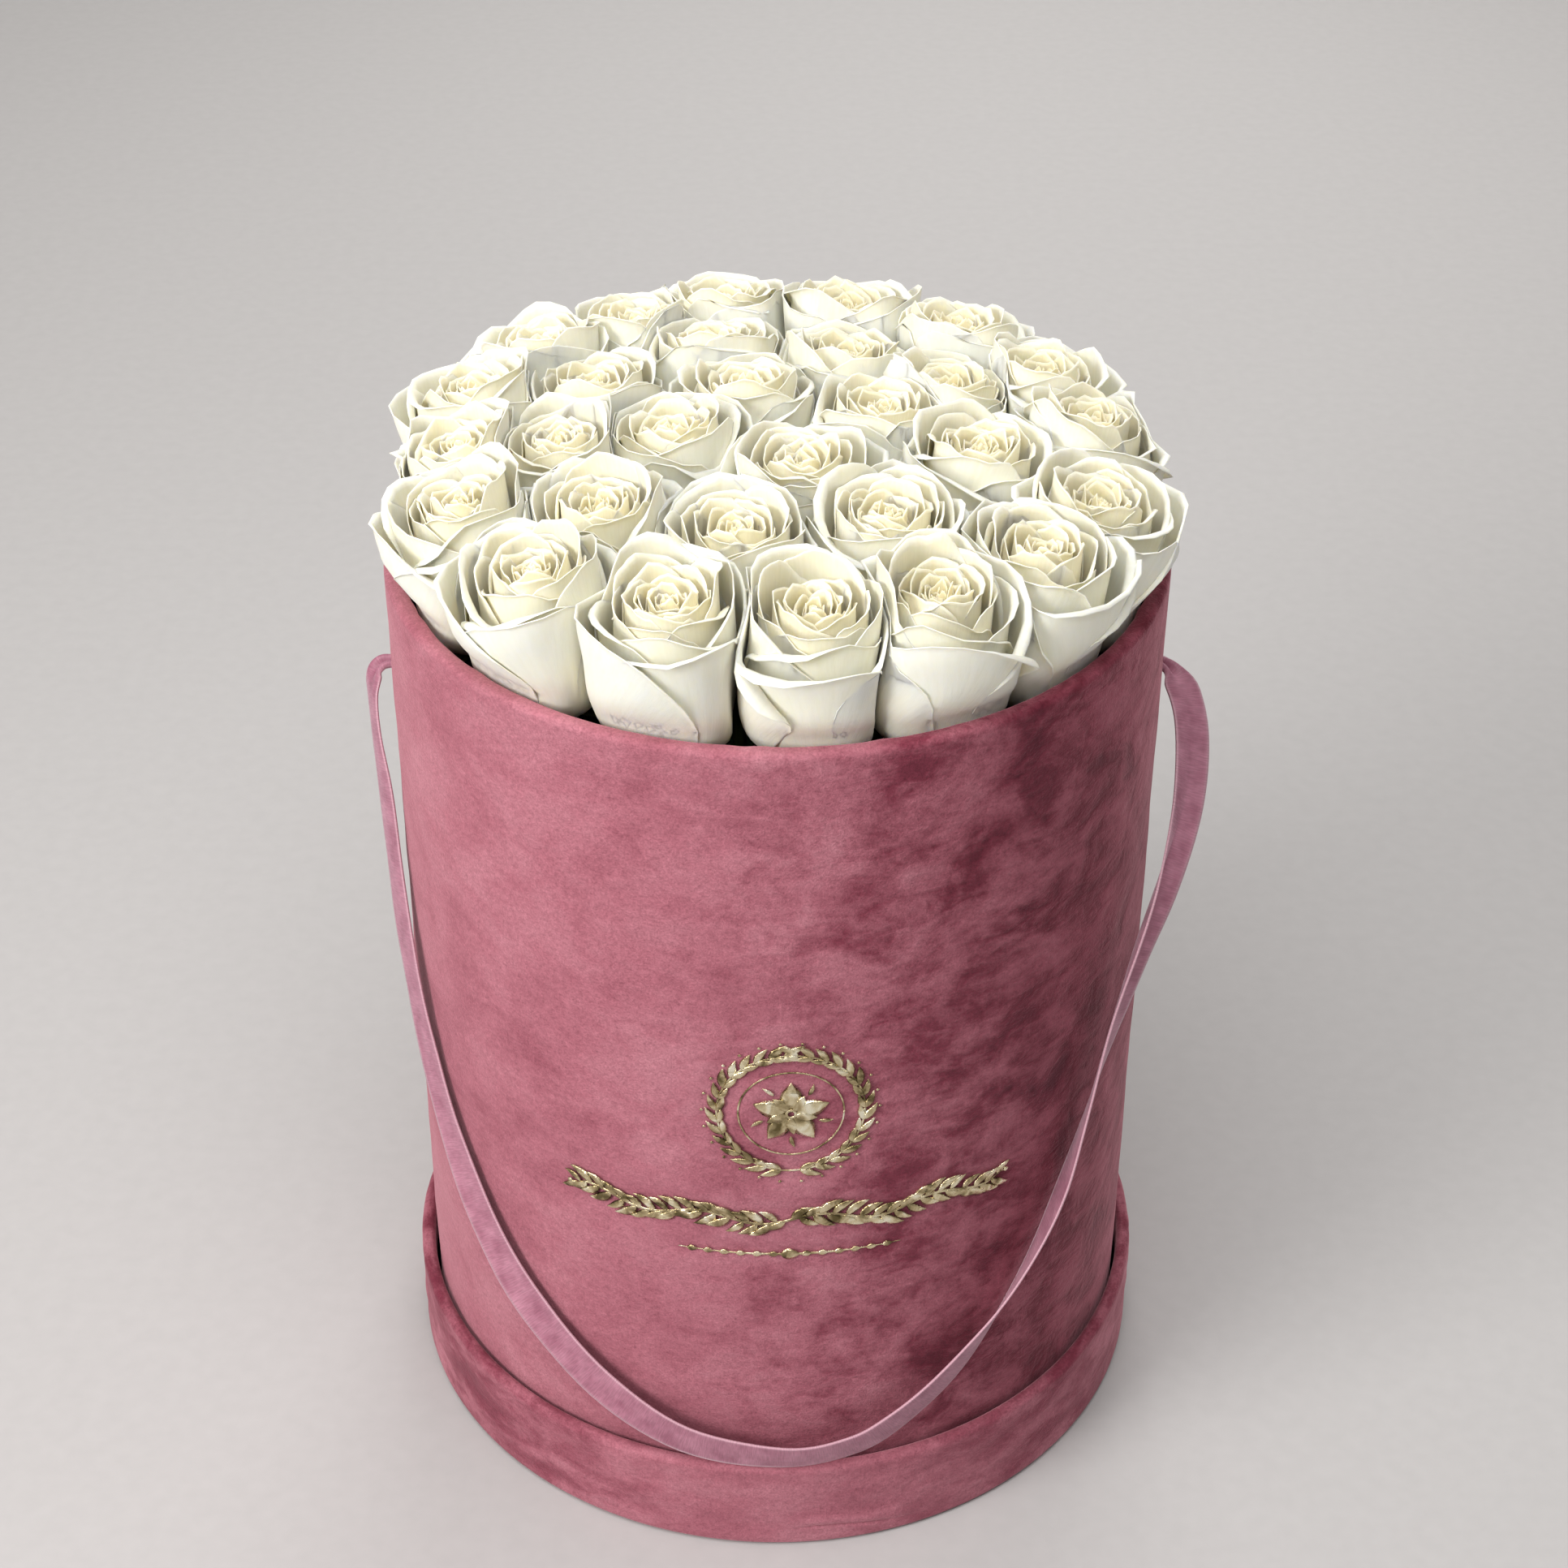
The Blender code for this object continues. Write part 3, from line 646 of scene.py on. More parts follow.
# The lid's velvet: from the middle of its flat face out, round the corner, up the side and over the
# edge. It has a slack crease low down on the right of the front.
def lidVelvet(look):
    radius, top = lidWall["radius"], lidWall["top"]
    footEdge = velvetCover["lidFootEdge"]
    heights = denseSteps(footEdge, top - velvetCover["edge"], 40, ((6.5 * mm, 3.5 * mm, 4.0),))[1:-1]
    face = denseSteps(0.0, radius - footEdge, 26, ((radius, 0.012, 3.0),))[1:-1]
    section = coverSection(radius, 0.0, top, lidWall["inner"], footEdge, heights, face)
    columns = velvetCover["lidColumns"]
    angles = np.linspace(-math.pi, math.pi, columns + 1)
    lengths = sectionLengths(section) + face[0]
    angle, r = np.meshgrid(angles[:-1], section[:, 0])
    height = np.repeat(section[:, 1:], columns, axis=1)
    x = angle * radius
    onSide = smoothStep(height / (6 * mm)) * (r > radius - 1.0 * mm)
    lean = (waves(x * 0.55, height * 1.6, 0.020, 7, 31) * 0.16 * mm
            + waves(x, height, 0.008, 7, 32) * 0.06 * mm)
    creaseHeight = (6.0 + 1.6 * np.sin(angle * 9 + 0.6)) * mm
    creaseShare = smoothStep((angle - 0.05) / 0.06) * smoothStep((0.42 - angle) / 0.22)
    crease = np.exp(-((height - creaseHeight) / (0.65 * mm)) ** 2) * creaseShare
    bulge = np.exp(-((height - creaseHeight - 2.4 * mm) / (1.6 * mm)) ** 2) * creaseShare
    seam = seamDepth(angle, radius)
    r = r + onSide * (lean - 0.75 * mm * crease + 0.50 * mm * bulge - seam)
    points = around(angle, r, height).reshape(-1, 3)
    rimLift = waves(x, 0 * x, 0.030, 5, 33) * 0.12 * mm
    points[:, 2] += (rimLift * smoothStep((height - 0.020) / 0.010) * (r > lidWall["inner"] + mm)).reshape(-1)
    quads = gridQuads(len(section), columns, True)
    flatMap = gridMap(angles * radius, lengths)
    # the middle of the flat face is closed by a fan round one more point
    first = np.arange(columns)
    fan = np.stack([first, np.full(columns, len(points)), np.roll(first, -1)], -1)
    fanMap = np.zeros((columns, 3, 2))
    fanMap[:, :, 0] = x[0][:, None]
    points = np.concatenate([points, [[0.0, 0.0, 0.0]]])
    everyMap = np.concatenate([flatMap.reshape(-1, 2), fanMap.reshape(-1, 2)])
    piece = makePiece("lidVelvet", points, [quads, fan], [look], everyMap)
    thicken(piece, velvetCover["thickness"])
    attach(piece, "lid")
    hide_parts("lid_side_velvet", "lid_face_velvet")


boxVelvet(velvetLook(boxPile))
lidVelvet(velvetLook(lidPile))
say("velvet is round the box and the lid")


# Flat strips bent round the box. Each path is a row of (length, height) points with a half width at each
# point; the section is a low ridge, a shade higher beside the middle than on it, closed underneath.
def foilStrips(paths, halves, lift=0.0):
    paths, halves = np.asarray(paths, float), np.asarray(halves, float)
    along = np.gradient(paths, axis=1)
    along /= np.linalg.norm(along, axis=2)[..., None]
    across = np.stack([-along[..., 1], along[..., 0]], -1)
    share = np.array([1.0, 0.5, 0.0, -0.5, -1.0, 0.0])
    rise = np.array([0.15, 1.0, 0.7, 1.0, 0.15, -0.6]) * foil["thickness"]
    flat = paths[:, :, None] + across[:, :, None] * (halves[..., None] * share)[..., None]
    width = np.clip(halves / (0.7 * mm), 0.25, 1.0)[..., None]
    out = foil["radius"] + lift + rise * width
    angle = (flat[..., 0] + foil["middle"]) / foil["radius"]
    points = around(angle, out, flat[..., 1])
    strips, stations, sides = points.shape[:3]
    one = gridQuads(stations, sides, True)
    step = np.arange(strips)[:, None, None] * (stations * sides)
    caps = np.stack([np.arange(sides)[::-1], np.arange(sides) + (stations - 1) * sides])
    return points.reshape(-1, 3), (one[None] + step).reshape(-1, 4), (caps[None] + step).reshape(-1, sides)


def joinStrips(name, groups, look, node):
    points, quads, caps, count = [], [], [], 0
    for group in groups:
        points.append(group[0])
        quads.append(group[1] + count)
        caps.append(group[2] + count)
        count += len(group[0])
    piece = makePiece(name, np.concatenate(points), [np.concatenate(quads), np.concatenate(caps)], [look])
    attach(piece, "box")
    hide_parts(node)


# A leaf: its midline leaves its start at an angle and bends, its half width is a sine of the way along.
def leafPaths(starts, turns, lengths, bends, fat, stations=9):
    t = np.linspace(0.0, 1.0, stations)
    turn = np.asarray(turns)[:, None] + np.asarray(bends)[:, None] * t
    step = np.asarray(lengths)[:, None] / (stations - 1)
    moves = np.stack([np.cos(turn) * step, np.sin(turn) * step], -1)
    paths = np.asarray(starts)[:, None] + np.cumsum(moves, axis=1) - moves[:, :1]
    halves = np.asarray(lengths)[:, None] * fat * np.sin(math.pi * t ** 0.8)[None] + 0.04 * mm
    return paths, halves


# Places on a circle round the stamping's middle line.
def circleSpots(turn, radius, height):
    return np.stack([radius * np.cos(turn), height + radius * np.sin(turn)], -1)


# A thin ring of foil.
def foilRing(height, radius, halfWidth, stations=96, lift=0.0):
    path = circleSpots(np.linspace(0, math.tau, stations), radius, height)[None]
    return foilStrips(path, np.full(path.shape[:2], halfWidth), lift)


# Small lozenges that lie level, each from its start to the right.
def lozenges(starts, lengths, fat, stations):
    none = np.zeros(len(starts))
    return leafPaths(starts, none, lengths, none, fat, stations)


# Two laurel branches that meet at the top and the bottom, a leaf to each side at every step.
def wreath(look):
    draw = np.random.default_rng(5)
    height, radius = foil["wreathHeight"], foil["wreathRadius"]
    groups = [foilRing(height, radius, 0.35 * mm), foilRing(height, radius - 5.9 * mm, 0.28 * mm)]
    steps = np.linspace(0.12, math.pi - 0.10, 15)
    for hand in (-1, 1):
        for side, tilt, size in ((1, 0.62, 1.0), (-1, 0.55, 0.86)):
            # from the bottom up the left or the right branch
            place = -math.pi / 2 + hand * steps
            starts = circleSpots(place, radius, height)
            forward = place + hand * math.pi / 2
            turns = forward - hand * side * tilt
            lengths = (6.4 + draw.uniform(-0.5, 0.5, len(steps))) * mm * size
            bends = np.full(len(steps), hand * side * 0.35)
            paths, halves = leafPaths(starts, turns, lengths, bends, 0.19)
            groups.append(foilStrips(paths, halves, 0.00004))
    count = foil["berries"]
    berries = circleSpots(np.linspace(0, math.tau, count + 1)[:-1], radius + 4.2 * mm, height)
    paths, halves = lozenges(berries - [0.5 * mm, 0], np.full(count, 1.0 * mm), 0.5, 6)
    groups.append(foilStrips(paths, halves))
    return joinStrips("foilWreath", groups, look, "foil_wreath")


# A blossom: five broad petals, with a smaller one and a short line between each two. Each row is how
# many, where they start, length, fatness, bend and turn.
def blossom(look):
    height = foil["wreathHeight"]
    groups = []
    rows = ((5, 1.6, 9.4, 0.33, 0.0, 0.0), (5, 1.2, 6.2, 0.30, 0.25, 0.628), (5, 8.0, 4.2, 0.16, 0.5, 0.628))
    for count, start, length, fat, bend, offset in rows:
        turn = np.arange(count) * math.tau / count + math.pi / 2 + offset
        starts = circleSpots(turn, start * mm, height)
        paths, halves = leafPaths(starts, turn, np.full(count, length * mm), np.full(count, bend), fat, 11)
        groups.append(foilStrips(paths, halves, 0.00008 if offset else 0.0))
    groups.append(foilRing(height, 1.3 * mm, 0.5 * mm, 25, 0.0001))
    return joinStrips("foilBlossom", groups, look, "foil_blossom")


# The height of the garland's stem at a length along the side: a sine wave that dies out at both ends.
def garlandWave(place):
    dying = smoothStep((foil["garlandHalf"] - abs(place)) / (6 * mm))
    return foil["garlandHeight"] + 1.7 * mm * np.sin(place / (5.3 * mm)) * dying


# A long twining stem with leaves to both sides and a bud at both ends.
def garland(look):
    draw = np.random.default_rng(6)
    half, height = foil["garlandHalf"], foil["garlandHeight"]
    x = np.linspace(-half, half, 161)
    stem = np.stack([x, garlandWave(x)], -1)[None]
    thin = (0.42 * mm * smoothStep((half - np.abs(x)) / (10 * mm)) + 0.12 * mm)[None]
    groups = [foilStrips(stem, thin)]
    steps = np.arange(-half + 3 * mm, half - 2 * mm, 3.9 * mm)
    for side in (-1, 1):
        place = steps + (0.8 * mm if side > 0 else -0.8 * mm)
        away = np.where(place < 0, math.pi, 0.0)
        hand = np.where(place < 0, -1.0, 1.0) * side
        turns = away + hand * (0.95 + draw.uniform(-0.12, 0.12, len(place)))
        shorter = smoothStep((half - abs(place)) / (12 * mm) + 0.45)
        lengths = (7.6 + draw.uniform(-1.0, 1.0, len(place))) * mm * shorter
        starts = np.stack([place, garlandWave(place)], -1)
        paths, halves = leafPaths(starts, turns, lengths, -0.75 * hand, 0.185)
        groups.append(foilStrips(paths, halves, 0.00004))
    ends = np.array([(-half - 0.6 * mm, height), (half - 0.6 * mm, height)])
    paths, halves = lozenges(ends, np.full(2, 1.8 * mm), 0.5, 6)
    groups.append(foilStrips(paths, halves, 0.00006))
    return joinStrips("foilGarland", groups, look, "foil_garland")


# A thin line swelling to a diamond in the middle, with a row of small lozenges.
def divider(look):
    half, height = foil["dividerHalf"], foil["dividerHeight"]
    x = np.linspace(-half, half, 61)
    rule = np.stack([x, np.full(len(x), height)], -1)[None]
    groups = [foilStrips(rule, (0.18 + 0.30 * smoothStep((half - np.abs(x)) / half))[None] * mm)]
    steps = np.linspace(-half + 4 * mm, half - 4 * mm, 13)
    size = np.where(np.abs(steps) < 1 * mm, 6.0, 3.2) * mm
    starts = np.stack([steps - size / 2, np.full(len(steps), height)], -1)
    paths, halves = lozenges(starts, size, 0.34, 7)
    groups.append(foilStrips(paths, halves, 0.00005))
    return joinStrips("foilDivider", groups, look, "foil_divider")


gold = foilLook()
for stamp in (wreath, blossom, garland, divider):
    stamp(gold)
say("foil is on the front")

roseSpots = (
    # (angle from the front in degrees, distance from the middle): outer ring, middle ring, inner four
    (-43, 0.093), (-18, 0.090), (6, 0.087), (27, 0.091), (49, 0.091), (70, 0.092), (99, 0.089),
    (119, 0.086), (143, 0.087), (166, 0.087), (190, 0.091), (209, 0.087), (228, 0.092),
    (250, 0.091), (271, 0.088), (291, 0.091),
    (-52, 0.060), (-13, 0.049), (37, 0.049), (87, 0.056), (127, 0.061), (160, 0.058),
    (197, 0.062), (236, 0.063), (271, 0.060),
    (28, 0.014), (124, 0.036), (195, 0.034), (260, 0.030),
)

rose = {
    "height": 0.030,        # of a bloom's heart above the rim
    "lean": 62.0,           # degrees outwards for each metre from the middle
    "foot": -0.046,         # where the petals start, below the heart
    "widest": 0.60,         # share of the way up where the cup is widest
    "petalThickness": 0.00026,
    # each ring of petals: how many, radius, top above the heart, half width in turns, how far each one
    # closes over the heart, how far its sides drop, flare, turn of the lip in degrees, radius of the lip
    "rings": (
        (3, 2.3, -0.9, 0.36, 0.42, 0.07, 0.0, 25, 0.7), (4, 3.9, -0.2, 0.30, 0.30, 0.09, 0.1, 40, 0.8),
        (4, 6.0, 0.7, 0.28, 0.19, 0.12, 0.2, 50, 1.0), (5, 8.4, 1.6, 0.25, 0.10, 0.16, 0.3, 58, 1.2),
        (5, 11.0, 2.4, 0.23, 0.04, 0.22, 0.4, 66, 1.3), (5, 14.0, 3.1, 0.22, 0.00, 0.36, 0.6, 80, 1.5),
        (4, 17.8, 3.4, 0.24, -0.01, 0.68, 1.0, 112, 1.7), (3, 22.3, 1.2, 0.285, -0.02, 0.85, 2.0, 160, 2.1),
    ),
    "finer": 13.0,          # rings wider than this have a finer grid and heights that vary more
    "grids": ((14, 19), (23, 27)),      # rows and columns of a petal, and of one with a finer grid
    "neighbour": 0.060,     # blooms closer than this press on each other
    "outwardDrop": 3.4,     # how much lower the outer petals are on the side away from the box's middle
    "outerRing": 17.0,      # petals of rings narrower than this are inner ones
    # where the upright handle passes on the left and right: (its middle, how far out petals may go at the
    # rim, how much less for each metre up)
    "besideHandle": {-1: (-0.005, 0.1072, 0.12), 1: (0.019, 0.1115, 0.26)},
    "stemRadius": 0.0022,
    "stemEnd": -0.1550,
}

roseAngles = np.radians([spot[0] for spot in roseSpots])
roseFeet = around(roseAngles, np.array([spot[1] for spot in roseSpots]), 0.0)[:, :2]
roseLeans = np.radians(rose["lean"]) * np.linalg.norm(roseFeet, axis=1)
roseOut = roseFeet / np.linalg.norm(roseFeet, axis=1)[:, None]
heartHeight = wall["top"] + rose["height"]


# How wide the cup of a bloom is at a share of the way from its foot to its heart: a quarter of a
# rounded square up to its widest, then drawn in a little.
def cupWidth(share):
    low = np.clip(share / rose["widest"], 0.0, 1.0)
    return (1.0 - (1.0 - low) ** 2.5) ** 0.52 * (1.0 - 0.06 * smoothStep((share - rose["widest"]) / 0.5))


# One petal, in the rose's own place. Flat, its edge is an ellipse standing on a narrower foot, and the
# grid's lines run from foot to edge. Bent, across becomes an angle and along becomes a height on the cup.
# Near the edge a line leaves the cup on a circle of the lip's radius. Returns points and how near the edge.
def petalPoints(rows, columns, turn, radius, top, half, close, drop, flare, lipTurn, lipRadius, draw):
    u = np.linspace(-1.0, 1.0, columns)[None, :]
    v = 1.0 - (1.0 - np.linspace(0.0, 1.0, rows)[:, None]) ** 1.5
    sweep = u * (math.pi * (0.42 + 0.22 * drop))
    middle = 1.0 - 0.55 * (0.35 + drop)
    phase = draw.uniform(0, math.tau, 8)
    ruffle = (0.022 * np.sin(5 * u + phase[0]) + 0.014 * np.sin(11 * u + phase[1])
              + 0.009 * np.sin(23 * u + phase[2]))
    tip = draw.uniform(-0.3, 0.3)
    point = 0.035 * draw.uniform(0.1, 1.0) * np.exp(-((u - tip) / 0.13) ** 2)
    edgeAcross = np.sign(sweep) * np.abs(np.sin(sweep)) ** 0.85
    edgeAlong = middle + (1.0 - middle) * np.cos(sweep) + ruffle + point
    edgeAlong = edgeAlong + draw.uniform(-0.14, 0.14) * (0.25 + drop) * 1.6 * u
    foot = -rose["foot"]
    heightSpan = foot + top
    acrossSpan = math.tau * half * radius
    runAcross, runAlong = edgeAcross - 0.6 * u, edgeAlong
    run = np.hypot(runAcross * acrossSpan, runAlong * heightSpan)
    # the lip fades out towards both sides, and is weaker at the petal's point
    centre = draw.uniform(-0.4, 0.4)
    strength = np.exp(-((u - centre) / 0.66) ** 4) * (1.0 + 0.30 * np.sin(4 * u + phase[3]))
    strength = strength * (1.0 - 0.55 * np.exp(-((u - tip) / 0.15) ** 2))
    lip = math.radians(lipTurn) * np.clip(strength, 0.02, 1.25)
    bend = lipRadius * (1.0 + 0.35 * np.sin(3 * u + phase[4]))
    rolled = lip * bend
    back = (1.0 - v) * run
    over = np.clip(rolled - back, 0.0, None) / bend
    back = np.where(over > 0, rolled - bend * np.sin(over), back)
    rise = bend * (1.0 - np.cos(over))
    way = 1.0 - back / run
    across = 0.6 * u + runAcross * way
    along = runAlong * way
    share = along * heightSpan / foot
    lifted = smoothStep((along - 0.50) / 0.5)
    cup = (radius + 0.75 * mm * across) * cupWidth(share)
    cup = cup * (1.0 - close * smoothStep((share - 0.55) / 0.5) ** 1.3)
    wave = 0.32 * mm * np.sin(across * 3.6 + phase[5]) + 0.16 * mm * np.sin(across * 8.5 + phase[6])
    out = cup + flare * lifted ** 1.6 * (1.0 - 0.3 * np.abs(across)) + wave * lifted + rise
    height = rose["foot"] + along * heightSpan - rise * 0.35 * np.clip(flare / (2 * mm), 0.0, 1.2)
    angle = turn + math.tau * half * across + 0.05 * np.sin(along * 3 + phase[7])
    points = np.stack([out * np.cos(angle), out * np.sin(angle), height], -1)
    edge = smoothStep(1.0 - (1.0 - v) * run / (1.8 * mm)) + 0 * u
    return points, edge


# The heart of a bloom: one petal rolled up on itself nearly two and a half times.
def heartScroll(draw):
    rows, columns = 7, 44
    u = np.linspace(0.0, 1.0, columns)[None, :]
    v = np.linspace(0.0, 1.0, rows)[:, None]
    angle = draw.uniform(0, math.tau) + math.tau * 2.4 * u
    out = (0.35 + 1.55 * u) * mm * (1.0 - 0.30 * v ** 2)
    top = (-1.1 + 0.7 * np.sin(5 * u + draw.uniform(0, 6)) + 0.25 * np.sin(17 * u)) * mm
    height = -16 * mm + (top + 16 * mm) * v
    points = np.stack([out * np.cos(angle), out * np.sin(angle), height + 0 * angle], -1)
    return points, smoothStep((v - 0.85) / 0.15) * 0.6 + 0 * u


# Presses a bloom against its neighbours. Towards each of them a point may go as far as the plane between
# the two, which sways a little; the last sixth of the way there is squeezed, so layers keep their order.
def pressTogether(points, number):
    height = points[:, 2:3] - heartHeight
    here = roseFeet[number] + roseOut[number] * np.tan(roseLeans[number]) * height
    for other in range(len(roseSpots)):
        apart = np.linalg.norm(roseFeet[other] - roseFeet[number])
        if other == number or apart > rose["neighbour"]:
            continue
        there = roseFeet[other] + roseOut[other] * np.tan(roseLeans[other]) * height
        between = there - here
        distance = np.linalg.norm(between, axis=1)[:, None]
        toward = between / distance
        sign = 1.0 if number < other else -1.0
        aside = np.stack([-toward[:, 1], toward[:, 0]], -1) * sign
        offset = points[:, :2] - here
        reach = np.sum(offset * toward, axis=1)[:, None]
        slide = np.sum(offset * aside, axis=1)[:, None]
        key = min(number, other) * 31 + max(number, other)
        sway = sign * 2.0 * mm * np.sin(slide * 120.0 + height * 85.0 + key)
        limit = distance / 2 - 0.25 * mm + sway
        soft = 0.17 * limit
        past = np.clip(reach - (limit - soft), 0.0, None)
        pressed = np.where(past > 0, limit - soft * np.exp(-past / soft), reach)
        points[:, :2] += toward * (pressed - reach)
    return points


# Keeps a bloom inside the wall below the rim. Above it, petals may hang over the rim, least beside the
# two ribbon holes, where the upright handle stands.
def clearWall(points):
    out = np.linalg.norm(points[:, :2], axis=1)
    above = points[:, 2] - wall["top"]
    free = wall["inner"] - 0.7 * mm + 0.85 * np.clip(above - 1.0 * mm, 0.0, 14 * mm)
    for hand, (middle, limit, less) in rose["besideHandle"].items():
        beside = smoothStep((19 * mm - np.abs(points[:, 1] - middle)) / (8 * mm)) * (points[:, 0] * hand > 0)
        free = free * (1 - beside) + np.minimum(free, limit - less * above) * beside
    soft = 4.5 * mm
    past = np.clip(out - (free - soft), 0.0, None)
    pressed = np.where(past > 0, free - soft * np.exp(-past / soft), out)
    points[:, :2] *= (pressed / np.maximum(out, 1e-6))[:, None]
    return points


# Sepals: five narrow leaves from under the bloom, bent out and down.
def sepals(draw):
    rows, columns = 9, 5
    out = []
    v = np.linspace(0.0, 1.0, rows)[:, None]
    u = np.linspace(-1.0, 1.0, columns)[None, :]
    for leaf in range(5):
        turn = math.tau * leaf / 5 + draw.uniform(-0.2, 0.2)
        length = draw.uniform(18, 25) * mm
        bend = draw.uniform(1.0, 1.7)
        angle = 0.1 - bend * v ** 0.6
        reach = 3.2 * mm + np.cumsum(np.cos(angle) * length / rows, axis=0)
        climb = rose["foot"] - 1.5 * mm + np.cumsum(np.sin(angle) * length / rows, axis=0)
        width = 2.4 * mm * (1.0 - v) ** 0.7 * (0.55 + 0.45 * np.sin(math.pi * (v + 0.25))) + 0.15 * mm
        away = reach + 0 * u
        aside = u * width
        high = climb + 0.6 * mm * np.abs(u) * (1 - v)
        points = np.stack([away * math.cos(turn) - aside * math.sin(turn),
                           away * math.sin(turn) + aside * math.cos(turn), high], -1)
        out.append(points)
    return out


# Takes points from the rose's own place to the box: turned about the bloom's heart, so that the stem's
# foot leans to the middle of the box.
def roseToBox(points, number):
    lean = roseLeans[number]
    out = np.array([*roseOut[number], 0.0])
    up = np.array([0.0, 0.0, 1.0])
    axis = np.cross(up, out)
    tilted = (points * math.cos(lean) + np.cross(axis, points) * math.sin(lean)
              + axis * (points @ axis)[:, None] * (1 - math.cos(lean)))
    return tilted + np.array([*roseFeet[number], heartHeight])


def makeRose(number, looks):
    draw = np.random.default_rng(700 + number)
    surfaces = []       # (points, nearness to the edge, warmth, whether it is an inner petal)
    opened = draw.uniform(0.94, 1.05)
    rise = draw.uniform(-1.2, 1.2) * mm
    outward = math.atan2(roseOut[number][1], roseOut[number][0])
    lopsided = rose["outwardDrop"] * mm * min(np.linalg.norm(roseFeet[number]) / 0.085, 1.0)
    points, edge = heartScroll(draw)
    surfaces.append((points, edge, 1.0, True))
    start = draw.uniform(0, math.tau)
    for count, radius, top, half, close, drop, flare, lipTurn, lipRadius in rose["rings"]:
        start += 1.1 + draw.uniform(-0.4, 0.4)
        fine = radius > rose["finer"]
        uneven = 2.0 if fine else 1.0
        for petal in range(count):
            turn = start + math.tau * petal / count + draw.uniform(-0.18, 0.18)
            away = math.cos(turn - outward) if fine else 0.0
            height = (top + draw.uniform(-0.8, 0.8) * uneven) * mm + rise - lopsided * away
            shape = petalPoints(*rose["grids"][int(fine)], turn,
                                (radius * (1.0 if fine else opened) + draw.uniform(-0.25, 0.25)) * mm, height,
                                half * draw.uniform(0.94, 1.12), close, drop * draw.uniform(0.85, 1.1),
                                flare * (1 + 0.6 * away) * draw.uniform(0.5, 1.4) * mm,
                                lipTurn * draw.uniform(0.65, 1.15),
                                lipRadius * draw.uniform(0.75, 1.25) * mm, draw)
            surfaces.append((*shape, max(1.0 - radius / 20.0, 0.0), radius < rose["outerRing"]))
    # painted warm glow: the sides of petals between others are warmer the deeper they lie, standing in for
    # light that shines through and bounces between petals; less so on outer petals of blooms near the wall,
    # where the light gets in
    sheltered = np.linalg.norm(roseFeet[number]) < 0.075
    leaves = []         # (points, nearness to the edge, warmth with the painted glow at each point, number of its look)
    for shape, edge, warm, inner in surfaces:
        depth = smoothStep((-0.003 - shape[..., 2]) / 0.026) * (0.62 if inner or sheltered else 0.22)
        leaves.append((shape, edge, np.clip(warm * 0.9 + depth, 0.0, 1.0), 0))
    for shape in sepals(draw):
        plain = np.zeros(shape.shape[:2])
        leaves.append((shape, plain, plain, 1))
    points, quads, flatMap, heart, edges, worn, count = [], [], [], [], [], [], 0
    for shape, edge, warmth, lookNumber in leaves:
        rows, columns = shape.shape[:2]
        points.append(shape.reshape(-1, 3))
        heart.append(warmth.reshape(-1))
        edges.append(edge.reshape(-1))
        # petals run anticlockwise and climb, so their faces look outwards
        quads.append(gridQuads(rows, columns) + count)
        flatMap.append(gridMap(np.linspace(0, 1, columns), np.linspace(0, 1, rows)))
        worn.append(np.full(len(quads[-1]), lookNumber))
        count += rows * columns
    placed = roseToBox(np.concatenate(points), number)
    placed = clearWall(pressTogether(placed, number))
    bloom = makePiece(f"roseBloom{number + 1:02d}", placed, np.concatenate(quads), looks,
                      np.concatenate(flatMap),
                      {"heart": np.concatenate(heart), "edge": np.concatenate(edges)}, np.concatenate(worn))
    thicken(bloom, rose["petalThickness"])
    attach(bloom, "box")
    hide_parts(f"rose_{number + 1:02d}")


# The stem: a tube with a swelling under the bloom and faint nodes.
def makeStem(number, look):
    z = np.linspace(rose["stemEnd"], rose["foot"] + 2 * mm, 40)
    knob = 1.4 * mm * np.exp(-((z - rose["foot"] + 2.5 * mm) / (3.2 * mm)) ** 2)
    nodes = 0.12 * mm * np.cos((z - rose["foot"]) / (4.5 * mm)) ** 8
    radii = rose["stemRadius"] - 0.15 * mm + nodes + knob
    path = np.stack([0 * z, 0 * z, z], -1)
    stemPoints, stemQuads, stemCaps = tube(path, radii, 12)
    stem = makePiece(f"roseStem{number + 1:02d}", roseToBox(stemPoints, number), [stemQuads, stemCaps],
                     [look])
    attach(stem, "box")


petals, green = petalLook(), greenLook()
for number in range(len(roseSpots)):
    makeRose(number, [petals, green])
    makeStem(number, green)
say("roses stand in the foam")

